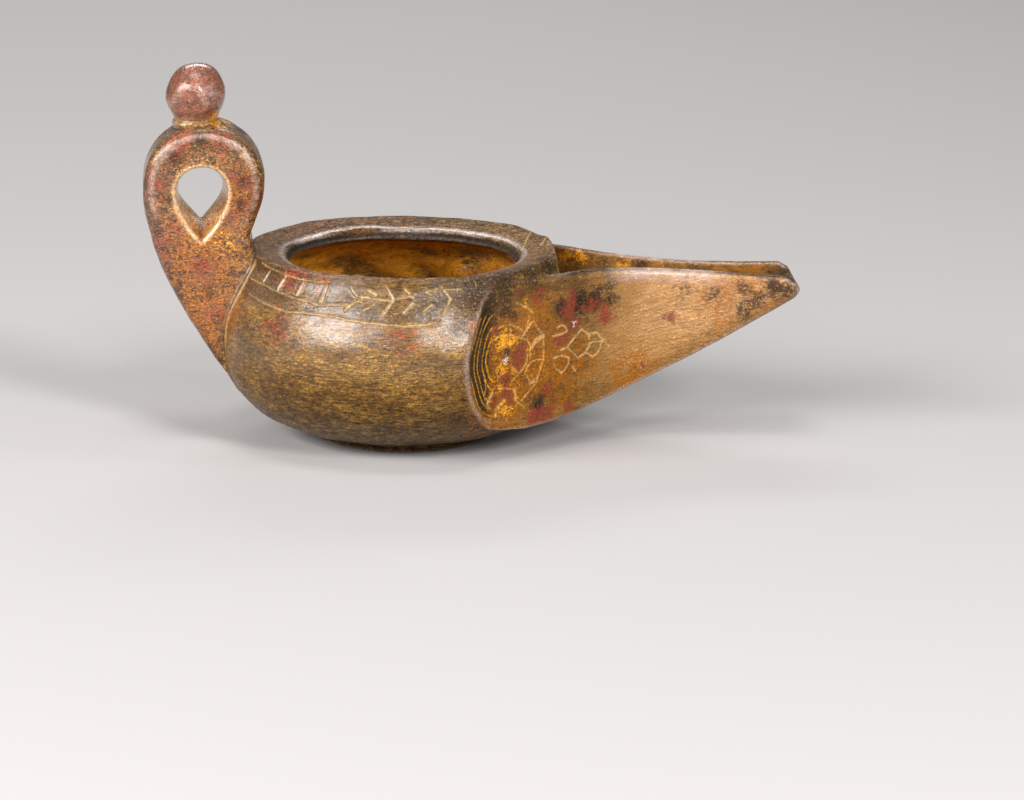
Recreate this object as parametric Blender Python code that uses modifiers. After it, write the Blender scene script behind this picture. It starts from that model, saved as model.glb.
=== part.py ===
"""Cast bronze oil lamp: a round bowl with a wide rim, an open trough spout and a ring handle.

The lamp is one casting, so it is one object. It stands level on its foot, with the origin under
the middle of the bowl, the spout along +X and the handle at -X. It is the same on both sides of
the XZ plane. Lengths are in metres.
"""
import math

import bmesh
import bpy
from mathutils import Vector
from mathutils.geometry import interpolate_bezier

# Foot and bowl
FOOT_CONTACT_RADIUS = 0.0205   # the flat disc that touches the table
FOOT_RADIUS = 0.0240           # the sharp edge just above it
FOOT_HEIGHT = 0.0024
FOOT_UNDERCUT = 0.0008         # how far the foot slopes in under its edge
BELLY_RADIUS = 0.0420
BELLY_HEIGHT = 0.0240          # height of the widest place
RIM_RADIUS = 0.0348            # the ridge round the top
RIM_HEIGHT = 0.0431
RIM_CROWN = 0.0001             # how far the inside of the ridge stands above its outside
MOUTH_RADIUS = 0.0250
MOUTH_DIP = 0.0020             # the rim falls this much from its ridge to the mouth
LIP_DEPTH = 0.0042             # thickness of the rim at the mouth
BOWL_WALL = 0.0036
BOWL_FLOOR = 0.0034            # metal above the table in the middle of the bowl
FLOOR_DISH = 0.0012            # the floor of the hollow rises this much to its edge

# Spout, in plan
COVE_X = 0.0120                # where each side panel leaves the belly
COVE_Y = 0.0404
PANEL_X = 0.0175               # where the short cove turns into the flat panel
PANEL_Y = 0.0314
PANEL_END_X = 0.0390           # where the flat panel turns into the narrow neck
PANEL_END_Y = 0.0150
WAIST_X = 0.0630               # the narrowest place
WAIST_HALF_WIDTH = 0.0067
TIP_X = 0.0904
TIP_HALF_WIDTH = 0.0097
SPOUT_WALL = 0.0024

# Spout, from the side
SPOUT_TOP_ROOT = 0.0402        # top of the walls beside the rim
SPOUT_TOP_TIP = 0.0375         # top of the walls at the tip
SPOUT_BOTTOM_ROOT = 0.0061     # underside below the panels
SPOUT_BOTTOM_START = 0.0088    # underside where the panels begin
SPOUT_BOTTOM_TIP = 0.0325      # underside at the tip
SPOUT_RISE = 31.0              # slope of the underside at the tip, in degrees
SPOUT_FLOOR = 0.0030           # metal under the trough, measured upright
TOP_SAG = 0.0008               # how much the top of the walls sinks on the way to the tip
SHOULDER_DROP = 0.0024         # the walls start this much lower at the belly
SHOULDER_LENGTH = 0.0095       # and reach their height after this length
NOSE_SIZE = 0.0032             # the broken corner at the tip
NOSE_TUCK = 0.0012             # the underside ends this much behind the tip
BLOCK_OVERLAP = 0.0030         # how far the spout's body reaches into the belly
BLOCK_RISE = 0.0060            # how much its underside rises inside the belly
CHANNEL_HALF_WIDTH = 0.0200    # half of the way from the bowl into the trough, at its widest
BRIDGE_X = 0.0346              # the straight edge of the rim where the trough begins
BRIDGE_DEGREES = 36.0          # where the round rim turns straight towards that edge
EDGE_SOFTENING = 0.0011        # how much cast edges are broken

# Handle, a thick plate standing on the back of the bowl
HANDLE_THICKNESS = 0.0170
HANDLE_EDGE = 0.0023           # the rounding of its edges
RING_X = -0.0453               # middle of the ring
RING_Z = 0.0586
RING_RADIUS = 0.0138
RING_END_DEGREES = -28.0       # where its round edge ends, above the rim
SPINE_FOOT_X = -0.0374         # where the back of the handle runs into the belly
SPINE_FOOT_Z = 0.0112
SPINE_FOOT_DEGREES = 127.0     # its direction there
NOTCH_X = -0.0337              # where the ring meets the rim
NOTCH_Z = 0.0472
ROOT_OVERLAP = 0.0020          # how far the plate reaches into the rim and past the notch
HOLE_X = -0.0459               # middle of the drop-shaped finger hole
HOLE_TOP = 0.0632
HOLE_BOTTOM = 0.0461
HOLE_WIDTH = 0.0119
HOLE_POWER = 0.9               # how sharply the drop comes to its point
HOLE_WAIST = 0.0010            # the hole is this much smaller all round at mid thickness

# Knob on the handle
KNOB_X = -0.0469
KNOB_Z = 0.0785
KNOB_RADIUS = 0.0071
COLLAR_RADIUS = 0.0056
COLLAR_Z = 0.0722
COLLAR_HEIGHT = 0.0022
NECK_RADIUS = 0.0049

# How finely round shapes are divided
BOWL_STEPS = 72
CAVITY_STEPS = 60
KNOB_STEPS = 32
BALL_STEPS = 12
RING_STEPS = 26
HOLE_STEPS = 28
WELD = 0.00002

# How far a cutting body runs past what it cuts
PAST = 0.010


def clear_scene():
    """Remove every object that is in the scene."""
    for old in list(bpy.data.objects):
        bpy.data.objects.remove(old, do_unlink=True)


def new_collection(name):
    """Make a collection in the scene."""
    collection = bpy.data.collections.new(name)
    bpy.context.scene.collection.children.link(collection)
    return collection


def bronze_material():
    """Brown, worn bronze."""
    material = bpy.data.materials.new("bronze")
    material.use_nodes = True
    shader = material.node_tree.nodes["Principled BSDF"]
    shader.inputs["Base Color"].default_value = (0.28, 0.17, 0.07, 1.0)
    shader.inputs["Metallic"].default_value = 0.85
    shader.inputs["Roughness"].default_value = 0.42
    return material


def add_object(name, mesh, collection):
    """Put a mesh into a collection as an object."""
    obj = bpy.data.objects.new(name, mesh)
    collection.objects.link(obj)
    return obj


def curve_points(start, start_pull, end_pull, end, steps):
    """Points of one smooth curve from start to end, bent by its two pull points."""
    knots = [Vector((point[0], point[1], 0.0)) for point in (start, start_pull, end_pull, end)]
    return [(point.x, point.y) for point in interpolate_bezier(*knots, steps + 1)]


def along(point, direction_degrees, distance):
    """The point that lies a distance from another in a direction."""
    angle = math.radians(direction_degrees)
    return point[0] + distance * math.cos(angle), point[1] + distance * math.sin(angle)


def lathe(name, profile, steps, centre_x, collection):
    """Turn a profile of (radius, height) points, given from top to bottom, about an upright axis."""
    mesh = bpy.data.meshes.new(name)
    corners = [(radius, 0.0, height) for radius, height in profile]
    mesh.from_pydata(corners, [(i, i + 1) for i in range(len(corners) - 1)], [])
    obj = add_object(name, mesh, collection)
    obj.location.x = centre_x
    screw = obj.modifiers.new("turn", "SCREW")
    screw.axis = "Z"
    screw.steps = steps
    screw.render_steps = steps
    screw.use_merge_vertices = True
    screw.merge_threshold = WELD
    return obj


def slab(name, outline, half_thickness, upright, collection):
    """Make a plate from a flat outline.

    An upright one has its outline in the XZ plane and its thickness along Y. A level one has its
    outline in the XY plane and its thickness along Z.
    """
    data = bpy.data.curves.new(name, "CURVE")
    data.dimensions = "2D"
    data.fill_mode = "BOTH"
    data.extrude = half_thickness
    spline = data.splines.new("POLY")
    spline.points.add(len(outline) - 1)
    for point, (across, up) in zip(spline.points, outline):
        point.co = (across, up, 0.0, 1.0)
    spline.use_cyclic_u = True
    guide = add_object(name + "_outline", data, collection)
    if upright:
        guide.rotation_euler.x = math.pi / 2
    bpy.context.view_layer.update()
    evaluated = guide.evaluated_get(bpy.context.evaluated_depsgraph_get())
    mesh = bpy.data.meshes.new_from_object(evaluated)
    mesh.name = name
    work = bmesh.new()
    work.from_mesh(mesh)
    bmesh.ops.remove_doubles(work, verts=work.verts, dist=WELD)
    bmesh.ops.recalc_face_normals(work, faces=work.faces)
    work.to_mesh(mesh)
    work.free()
    obj = add_object(name, mesh, collection)
    obj.matrix_world = guide.matrix_world.copy()
    bpy.data.objects.remove(guide, do_unlink=True)
    return obj


def hide_tool(obj):
    """Mark an object as a shape that only cuts or joins."""
    obj.hide_render = True
    obj.display_type = "WIRE"
    return obj


def combine(target, tool, operation):
    """Join a tool shape to the target, or cut it away."""
    modifier = target.modifiers.new(operation.lower() + "_" + tool.name, "BOOLEAN")
    modifier.operation = operation
    modifier.solver = "EXACT"
    modifier.object = hide_tool(tool)


def belly_profile(inset):
    """The side of the bowl from its ridge down to its foot, moved inwards by a wall."""
    ridge = (RIM_RADIUS - inset, RIM_HEIGHT)
    belly = (BELLY_RADIUS - inset, BELLY_HEIGHT)
    foot = (FOOT_RADIUS - inset, FOOT_HEIGHT + inset)
    shoulder_rise = RIM_HEIGHT - BELLY_HEIGHT
    upper = curve_points(ridge, along(ridge, -74, 0.24 * shoulder_rise),
                         (belly[0], belly[1] + 0.42 * shoulder_rise), belly, 7)
    belly_rise = belly[1] - foot[1]
    lower = curve_points(belly, (belly[0], belly[1] - 0.46 * belly_rise),
                         along(foot, 16, 0.69 * (belly[0] - foot[0])), foot, 8)
    return upper + lower[1:]


def bowl_profile():
    """The whole outside of the bowl, closed over its mouth."""
    inner_ridge = (RIM_RADIUS - EDGE_SOFTENING, RIM_HEIGHT + RIM_CROWN)
    overlap = 0.1 * MOUTH_RADIUS
    fall = overlap * MOUTH_DIP / (inner_ridge[0] - MOUTH_RADIUS)
    mouth = (MOUTH_RADIUS - overlap, RIM_HEIGHT - MOUTH_DIP - fall)
    foot = (FOOT_CONTACT_RADIUS, 0.0)
    undercut = (FOOT_CONTACT_RADIUS + FOOT_UNDERCUT, 0.62 * FOOT_HEIGHT)
    side = belly_profile(0.0)
    return [(0.0, mouth[1]), mouth, inner_ridge] + side + [undercut, foot, (0.0, 0.0)]


def cavity_profile():
    """The hollow of the bowl, which is wider than the mouth above it."""
    mouth_z = RIM_HEIGHT - MOUTH_DIP
    lip_bottom = mouth_z - LIP_DEPTH
    wide = MOUTH_RADIUS + EDGE_SOFTENING
    belly = (BELLY_RADIUS - BOWL_WALL, BELLY_HEIGHT)
    floor_edge = (FOOT_RADIUS - BOWL_WALL, BOWL_FLOOR + FLOOR_DISH)
    lip_top = (wide, mouth_z + 0.3 * EDGE_SOFTENING)
    throat = [(0.0, RIM_HEIGHT + PAST), (wide, RIM_HEIGHT + PAST), lip_top,
              (MOUTH_RADIUS, mouth_z - EDGE_SOFTENING), (MOUTH_RADIUS, lip_bottom + EDGE_SOFTENING)]
    under_lip = (wide, lip_bottom)
    middle = 0.5 * (under_lip[0] + belly[0])
    vault = curve_points(under_lip, (middle, lip_bottom - 0.5 * EDGE_SOFTENING),
                         (belly[0], belly[1] + 0.45 * (lip_bottom - belly[1])), belly, 6)
    bottom = curve_points(belly, (belly[0], belly[1] - 0.46 * (belly[1] - floor_edge[1])),
                          along(floor_edge, 12, 0.62 * (belly[0] - floor_edge[0])), floor_edge, 6)
    return throat + vault + bottom[1:] + [(0.0, BOWL_FLOOR)]


def spout_side(side, inset):
    """Plan line of one side of the spout, from outside the belly to past the tip.

    It leaves the belly in a short cove, runs on as a flat panel, bends round to the narrow waist
    and widens again to the tip. The inset moves it inwards by a wall.
    """
    cove = Vector((COVE_X, COVE_Y))
    panel = Vector((PANEL_X, PANEL_Y))
    panel_end = Vector((PANEL_END_X, PANEL_END_Y))
    waist = Vector((WAIST_X, WAIST_HALF_WIDTH))
    outward = (cove - panel).normalized()
    start = cove + outward * PAST
    bend = 0.32 * (cove - panel).length
    run = (panel_end - panel).normalized()
    corner = curve_points(panel + outward * bend, panel + outward * bend * 0.4,
                          panel + run * bend * 0.4, panel + run * bend, 4)
    pull = 0.36 * (WAIST_X - PANEL_END_X)
    neck = curve_points(panel_end, panel_end + run * pull,
                        waist - Vector((pull, 0.0)), waist, 7)
    flare_length = TIP_X - WAIST_X
    flare = curve_points(waist, waist + Vector((0.40 * flare_length, 0.0)),
                         (TIP_X - 0.4 * flare_length,
                          TIP_HALF_WIDTH - 0.3 * (TIP_HALF_WIDTH - WAIST_HALF_WIDTH)),
                         (TIP_X, TIP_HALF_WIDTH), 5)
    line = [tuple(start)] + corner + neck + flare[1:] + [(TIP_X + PAST, TIP_HALF_WIDTH)]
    return [(x, side * y) for x, y in moved_inwards(line, inset)]


def moved_inwards(line, inset):
    """Move a plan line towards the X axis by an inset, square to the line at each point."""
    moved = []
    for i, point in enumerate(line):
        before = Vector(line[max(i - 1, 0)])
        after = Vector(line[min(i + 1, len(line) - 1)])
        run = (after - before).normalized()
        moved.append((point[0] + run.y * inset, point[1] - run.x * inset))
    return moved


def side_cutter(side, inset, collection):
    """Everything beyond one side of the spout, from below the foot to above the rim."""
    line = spout_side(side, inset)
    reach = BELLY_RADIUS + PAST
    outer = [(line[-1][0], side * reach), (line[0][0], side * reach)]
    label = ("near" if side < 0 else "far") + ("_inner" if inset else "_outer")
    cutter = slab("beyond_" + label, line + outer, 0.5 * RIM_HEIGHT + PAST, False, collection)
    cutter.location.z = 0.5 * RIM_HEIGHT
    return cutter


def underside_curve(lift):
    """Side line of the spout's underside from the belly to the tip, lifted by a floor."""
    root_x = PANEL_X + 0.40 * (PANEL_END_X - PANEL_X)
    root = (root_x, SPOUT_BOTTOM_ROOT + lift)
    tip = (TIP_X - NOSE_TUCK, SPOUT_BOTTOM_TIP + lift)
    reach = tip[0] - root[0]
    return curve_points(root, (root[0] + 0.34 * reach, root[1]),
                        along(tip, 180 + SPOUT_RISE, 0.34 * reach), tip, 12)


def spout_block(collection):
    """The body of the spout from the side, as wide as the bowl."""
    root = (PANEL_END_X, SPOUT_TOP_ROOT)
    top_corner = (TIP_X - NOSE_SIZE, SPOUT_TOP_TIP)
    reach = top_corner[0] - root[0]
    top = curve_points(root, (root[0] + 0.3 * reach, root[1] - TOP_SAG),
                       (root[0] + 0.6 * reach, top_corner[1] + 0.5 * TOP_SAG), top_corner, 5)
    inside = PANEL_X - BLOCK_OVERLAP
    shoulder = curve_points((PANEL_X, root[1] - SHOULDER_DROP),
                            (PANEL_X + 0.32 * SHOULDER_LENGTH, root[1] - SHOULDER_DROP / 3),
                            (PANEL_X + 0.63 * SHOULDER_LENGTH, root[1]),
                            (PANEL_X + SHOULDER_LENGTH, root[1]), 3)
    nose = [(TIP_X - 0.3 * NOSE_SIZE, SPOUT_TOP_TIP - 0.4 * NOSE_SIZE),
            (TIP_X, SPOUT_TOP_TIP - NOSE_SIZE)]
    underside = underside_curve(0.0)[::-1]
    outline = [(inside, root[1] - 3 * SHOULDER_DROP)] + shoulder + top + nose + underside
    start_z = SPOUT_BOTTOM_START
    turn = 0.4 * start_z + 0.6 * SPOUT_BOTTOM_ROOT
    outline += [(0.5 * (PANEL_X + underside[-1][0]), turn), (PANEL_X, start_z)]
    outline += [(PANEL_X - 0.43 * BLOCK_OVERLAP, start_z + 0.37 * BLOCK_RISE),
                (inside, start_z + BLOCK_RISE)]
    return slab("spout_block", outline, PANEL_Y + BLOCK_OVERLAP, True, collection)


def rim_bridge(collection):
    """The squared front of the rim, which crosses the spout with a straight edge."""
    mouth_z = RIM_HEIGHT - MOUTH_DIP
    lip_bottom = mouth_z - LIP_DEPTH
    inner = 0.8 * MOUTH_RADIUS
    edge_top = (BRIDGE_X - 0.6 * EDGE_SOFTENING, RIM_HEIGHT - 0.2 * EDGE_SOFTENING)
    section = [(inner, lip_bottom), (BRIDGE_X, lip_bottom),
               (BRIDGE_X, RIM_HEIGHT - 0.6 * EDGE_SOFTENING), edge_top,
               (inner, mouth_z - 1.1 * EDGE_SOFTENING)]
    leave = along((0.0, 0.0), BRIDGE_DEGREES, RIM_RADIUS)
    drop = (BRIDGE_X - leave[0]) / math.tan(math.radians(BRIDGE_DEGREES))
    corner = (BRIDGE_X + EDGE_SOFTENING, leave[1] - drop)
    half_plan = [(inner, leave[1]), leave, corner]
    plan = half_plan + [(x, -y) for x, y in reversed(half_plan)]
    bridge = slab("rim_bridge", section, leave[1] + EDGE_SOFTENING, True, collection)
    limit = slab("rim_bridge_plan", plan, 0.5 * RIM_HEIGHT, False, collection)
    limit.location.z = RIM_HEIGHT
    combine(bridge, limit, "INTERSECT")
    return bridge


def channel(collection):
    """The open trough of the spout, and the way from it under the rim into the bowl."""
    lip_bottom = RIM_HEIGHT - MOUTH_DIP - LIP_DEPTH
    floor = underside_curve(SPOUT_FLOOR)
    tip = floor[-1]
    beyond = along(tip, SPOUT_RISE, PAST)
    inside = 0.8 * MOUTH_RADIUS
    above = RIM_HEIGHT + PAST
    outline = [(inside, floor[0][1])] + floor
    outline += [beyond, (beyond[0], above), (BRIDGE_X, above), (BRIDGE_X, lip_bottom),
                (inside, lip_bottom)]
    return slab("channel", outline, CHANNEL_HALF_WIDTH, True, collection)


def loft(name, stations, outline_at, collection):
    """Make a solid along Y from outlines in the XZ plane, one at each (y, inset) station."""
    work = bmesh.new()
    rings = []
    for y, inset in stations:
        rings.append([work.verts.new((x, y, z)) for x, z in outline_at(inset)])
    count = len(rings[0])
    for first, second in zip(rings, rings[1:]):
        for i in range(count):
            j = (i + 1) % count
            work.faces.new((first[i], first[j], second[j], second[i]))
    work.faces.new(rings[0])
    work.faces.new(rings[-1])
    bmesh.ops.recalc_face_normals(work, faces=work.faces)
    mesh = bpy.data.meshes.new(name)
    work.to_mesh(mesh)
    work.free()
    return add_object(name, mesh, collection)


def handle_outline(inset):
    """The handle from the side: a ring above, and a spine that runs down into the belly."""
    radius = RING_RADIUS - inset
    left = (RING_X - radius, RING_Z)
    fall = RING_Z - SPINE_FOOT_Z
    spine_foot = along((SPINE_FOOT_X, SPINE_FOOT_Z), SPINE_FOOT_DEGREES - 90, inset)
    spine = curve_points(left, (left[0], left[1] - 0.32 * fall),
                         along(spine_foot, SPINE_FOOT_DEGREES, 0.336 * fall), spine_foot, 12)
    ring = []
    for i in range(RING_STEPS + 1):
        degrees = RING_END_DEGREES + (180 - RING_END_DEGREES) * i / RING_STEPS
        ring.append(along((RING_X, RING_Z), degrees, radius))
    buried = [(NOTCH_X - 0.5 * ROOT_OVERLAP, SPINE_FOOT_Z),
              (NOTCH_X + 0.6 * ROOT_OVERLAP, RIM_HEIGHT - ROOT_OVERLAP)]
    notch = [(NOTCH_X + 0.4 * ROOT_OVERLAP - inset / 2, RIM_HEIGHT + ROOT_OVERLAP),
             (NOTCH_X - inset, NOTCH_Z)]
    return buried + notch + ring + spine[1:]


def rounded_stations(half_thickness, rounding):
    """Stations across a plate whose edges are rounded, as (y, inset) from one face to the other."""
    quarter = [(rounding * (1 - math.cos(turn)), rounding * (1 - math.sin(turn)))
               for turn in (0.0, math.pi / 6, math.pi / 3, math.pi / 2)]
    near = [(-half_thickness + depth, inset) for depth, inset in quarter]
    far = [(-y, inset) for y, inset in reversed(near)]
    return near + far


def handle_plate(collection):
    """The thick plate of the handle with its worn, rounded edges."""
    stations = rounded_stations(HANDLE_THICKNESS / 2, HANDLE_EDGE)
    return loft("handle_plate", stations, handle_outline, collection)


def drop_outline(shrink):
    """The finger hole seen from the side: round above, and pointed below."""
    half_height = 0.5 * (HOLE_TOP - HOLE_BOTTOM) - shrink
    half_width = 0.5 * HOLE_WIDTH - shrink
    middle = 0.5 * (HOLE_TOP + HOLE_BOTTOM) + shrink
    turns = [2 * math.pi * i / HOLE_STEPS for i in range(HOLE_STEPS)]
    swells = [math.sin(turn) * math.sin(turn / 2) ** HOLE_POWER for turn in turns]
    widest = max(swells)
    return [(HOLE_X + half_width * swell / widest, middle - half_height * math.cos(turn))
            for turn, swell in zip(turns, swells)]


def finger_hole(collection):
    """The hole through the handle, a little smaller in the middle of its thickness."""
    half = HANDLE_THICKNESS / 2
    flank = 0.3 * half
    stations = [(-half - flank, -0.4 * HOLE_WAIST), (-half, 0.0), (-half + flank, 0.7 * HOLE_WAIST),
                (0.0, HOLE_WAIST), (half - flank, 0.7 * HOLE_WAIST), (half, 0.0),
                (half + flank, -0.4 * HOLE_WAIST)]
    return loft("finger_hole", stations, drop_outline, collection)


def knob(collection):
    """The ball on its short neck, with a low collar below it."""
    start = math.acos(NECK_RADIUS * 0.98 / KNOB_RADIUS)
    ball = []
    for i in range(BALL_STEPS + 1):
        angle = math.pi / 2 - (math.pi / 2 + start) * i / BALL_STEPS
        ball.append((KNOB_RADIUS * math.cos(angle), KNOB_Z + KNOB_RADIUS * math.sin(angle)))
    ball[0] = (0.0, KNOB_Z + KNOB_RADIUS)
    collar = [(NECK_RADIUS, COLLAR_Z + COLLAR_HEIGHT / 2),
              (COLLAR_RADIUS, COLLAR_Z + COLLAR_HEIGHT / 4),
              (COLLAR_RADIUS, COLLAR_Z - COLLAR_HEIGHT / 4),
              (NECK_RADIUS, COLLAR_Z - COLLAR_HEIGHT / 2)]
    root = RING_Z + 0.6 * RING_RADIUS
    stem = [(NECK_RADIUS, root), (0.0, root)]
    return lathe("knob", ball + collar + stem, KNOB_STEPS, KNOB_X, collection)


def build_lamp():
    """Join the bowl, spout, handle and knob into one casting, then hollow it."""
    parts = new_collection("bronze_oil_lamp")
    tools = new_collection("cutters")
    lamp = lathe("oil_lamp", bowl_profile(), BOWL_STEPS, 0.0, parts)
    combine(lamp, spout_block(tools), "UNION")
    combine(lamp, rim_bridge(tools), "UNION")
    cavity = lathe("cavity", cavity_profile(), CAVITY_STEPS, 0.0, tools)
    trough = channel(tools)
    for side in (-1, 1):
        combine(lamp, side_cutter(side, 0.0, tools), "DIFFERENCE")
        inner = side_cutter(side, SPOUT_WALL, tools)
        combine(cavity, inner, "DIFFERENCE")
        combine(trough, inner, "DIFFERENCE")
    plate = handle_plate(tools)
    combine(plate, finger_hole(tools), "DIFFERENCE")
    combine(lamp, plate, "UNION")
    combine(lamp, knob(tools), "UNION")
    combine(lamp, cavity, "DIFFERENCE")
    combine(lamp, trough, "DIFFERENCE")
    return lamp


def finish_casting(lamp):
    """Turn the joined shapes into one mesh, smooth where it is round, and give it its metal."""
    evaluated = lamp.evaluated_get(bpy.context.evaluated_depsgraph_get())
    mesh = bpy.data.meshes.new_from_object(evaluated)
    mesh.name = "oil_lamp"
    mesh.shade_smooth()
    mesh.set_sharp_from_angle(angle=math.radians(32))
    mesh.materials.clear()
    mesh.materials.append(bronze_material())
    lamp.modifiers.clear()
    lamp.data = mesh


def main():
    """Build the whole model."""
    clear_scene()
    finish_casting(build_lamp())


main()
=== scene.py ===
"""An old cast bronze oil lamp: its skin, its patina, the floor, the lights and the camera.

The lamp is one casting, so it is one piece. Each part of it (bowl, spout, handle, knob) is a
class that says how far any place is from its surface. The casting joins them with soft fillets,
cuts the hollow, adds the unevenness of old metal and the engraved lines, and is then covered
with a fine mesh. Lengths in these classes are in millimetres, with +Z up, the spout along +X and
the handle at -X. The mesh is scaled to metres when it is made, and the studio is in metres.
"""
import logging
import math
from dataclasses import dataclass, field
from enum import Enum

import bpy
import numpy as np
from mathutils import Matrix, Vector


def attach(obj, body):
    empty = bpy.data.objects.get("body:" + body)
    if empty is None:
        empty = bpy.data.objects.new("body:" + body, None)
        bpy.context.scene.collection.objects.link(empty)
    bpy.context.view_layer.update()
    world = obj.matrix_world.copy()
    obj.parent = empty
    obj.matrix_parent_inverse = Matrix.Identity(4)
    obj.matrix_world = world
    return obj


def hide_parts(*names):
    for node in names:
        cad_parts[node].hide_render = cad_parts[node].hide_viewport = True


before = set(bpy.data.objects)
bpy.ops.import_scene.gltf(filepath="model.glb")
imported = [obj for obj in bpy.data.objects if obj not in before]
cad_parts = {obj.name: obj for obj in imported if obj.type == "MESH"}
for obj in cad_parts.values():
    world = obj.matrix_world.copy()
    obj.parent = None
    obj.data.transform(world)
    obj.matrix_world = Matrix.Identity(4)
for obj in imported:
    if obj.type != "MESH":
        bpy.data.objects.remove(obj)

LOG = logging.getLogger("oil_lamp")
MM = 0.001
BODY = "root"
NODE = "oil_lamp"

MIRROR = np.array([1.0, -1.0, 1.0])

Array = np.ndarray
Point = tuple[float, float]
Spot = tuple[float, float, float]
Row = tuple[float, ...]
Colour = tuple[float, float, float, float]
Place = tuple[Array, Array, Array]
Socket = bpy.types.NodeSocket


def curve(start: Point, pull_a: Point, pull_b: Point, end: Point, steps: int = 24) -> list[Point]:
    """Points of one smooth curve.

    Args:
        start: first point.
        pull_a: point that the curve sets out towards.
        pull_b: point that it comes in from.
        end: last point.
        steps: number of stretches between the first and the last point.

    Returns:
        The points from start to end, both included.
    """
    line = []
    for i in range(steps + 1):
        t = i / steps
        a, b, c, d = (1 - t) ** 3, 3 * t * (1 - t) ** 2, 3 * t * t * (1 - t), t ** 3
        line.append((a * start[0] + b * pull_a[0] + c * pull_b[0] + d * end[0],
                     a * start[1] + b * pull_a[1] + c * pull_b[1] + d * end[1]))
    return line


def along(point: Point, degrees: float, distance: float) -> Point:
    """The point at a distance from another in a direction."""
    angle = math.radians(degrees)
    return point[0] + distance * math.cos(angle), point[1] + distance * math.sin(angle)


def mirrored(half: list[Point]) -> list[Point]:
    """Close a half outline, given from the axis back to the axis, with its mirror image."""
    return half + [(-u, v) for u, v in reversed(half) if u > 0.0]


def both_sides(half: list[Point]) -> list[Point]:
    """Close half a plan, given from one end to the other, with the side across the lamp."""
    return half + [(x, -y) for x, y in reversed(half)]


def joined(a: Array, b: Array, fillet: float) -> Array:
    """Distance to two bodies melted into each other with a fillet of a radius."""
    soft = np.hypot(np.maximum(fillet - a, 0.0), np.maximum(fillet - b, 0.0))
    return np.maximum(fillet, np.minimum(a, b)) - soft


def shared(a: Array, b: Array, rounding: float) -> Array:
    """Distance to what two bodies share, with its edges rounded by a radius."""
    soft = np.hypot(np.maximum(rounding + a, 0.0), np.maximum(rounding + b, 0.0))
    return np.minimum(-rounding, np.maximum(a, b)) + soft


def eased(values: Array, low: float, high: float) -> Array:
    """Ramp from 0 at low to 1 at high, with soft ends."""
    t = np.clip((values - low) / (high - low), 0.0, 1.0)
    return t * t * (3.0 - 2.0 * t)


def faded(values: Array, low: float, high: float) -> Array:
    """Ramp from 1 at low to 0 at high, with soft ends."""
    return 1.0 - eased(values, low, high)


def between(values: Array, low: float, full: float, still: float, high: float) -> Array:
    """Ramp from 0 at low to 1 at full, and from 1 at still to 0 at high."""
    return eased(values, low, full) * faded(values, still, high)


def bell(values: Array, reach: float) -> Array:
    """Hump of height 1 round 0, which has fallen to 0.37 at a reach."""
    return np.exp(-((values / reach) ** 2))


def columns(spots: Array) -> Place:
    """Places given one per row, as their x, y and z."""
    return spots[:, 0], spots[:, 1], spots[:, 2]


def lengths(vectors: Array) -> Array:
    """Lengths of vectors given one per row."""
    return np.linalg.norm(vectors, axis=1)


def placed(name: str, data: bpy.types.ID) -> bpy.types.Object:
    """Put an object with its data into the scene."""
    made = bpy.data.objects.new(name, data)
    bpy.context.scene.collection.objects.link(made)
    return made


def new_material(name: str) -> tuple[bpy.types.Material, bpy.types.Node]:
    """A new material and its shader."""
    material = bpy.data.materials.new(name)
    material.use_nodes = True
    return material, material.node_tree.nodes["Principled BSDF"]


def spline_weights(t: Array) -> list[Array]:
    """Weights of the four table cells round a place, for a smooth reading of the table."""
    return [(1 - t) ** 3 / 6.0, (3 * t ** 3 - 6 * t ** 2 + 4) / 6.0,
            (-3 * t ** 3 + 3 * t ** 2 + 3 * t + 1) / 6.0, t ** 3 / 6.0]


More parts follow.
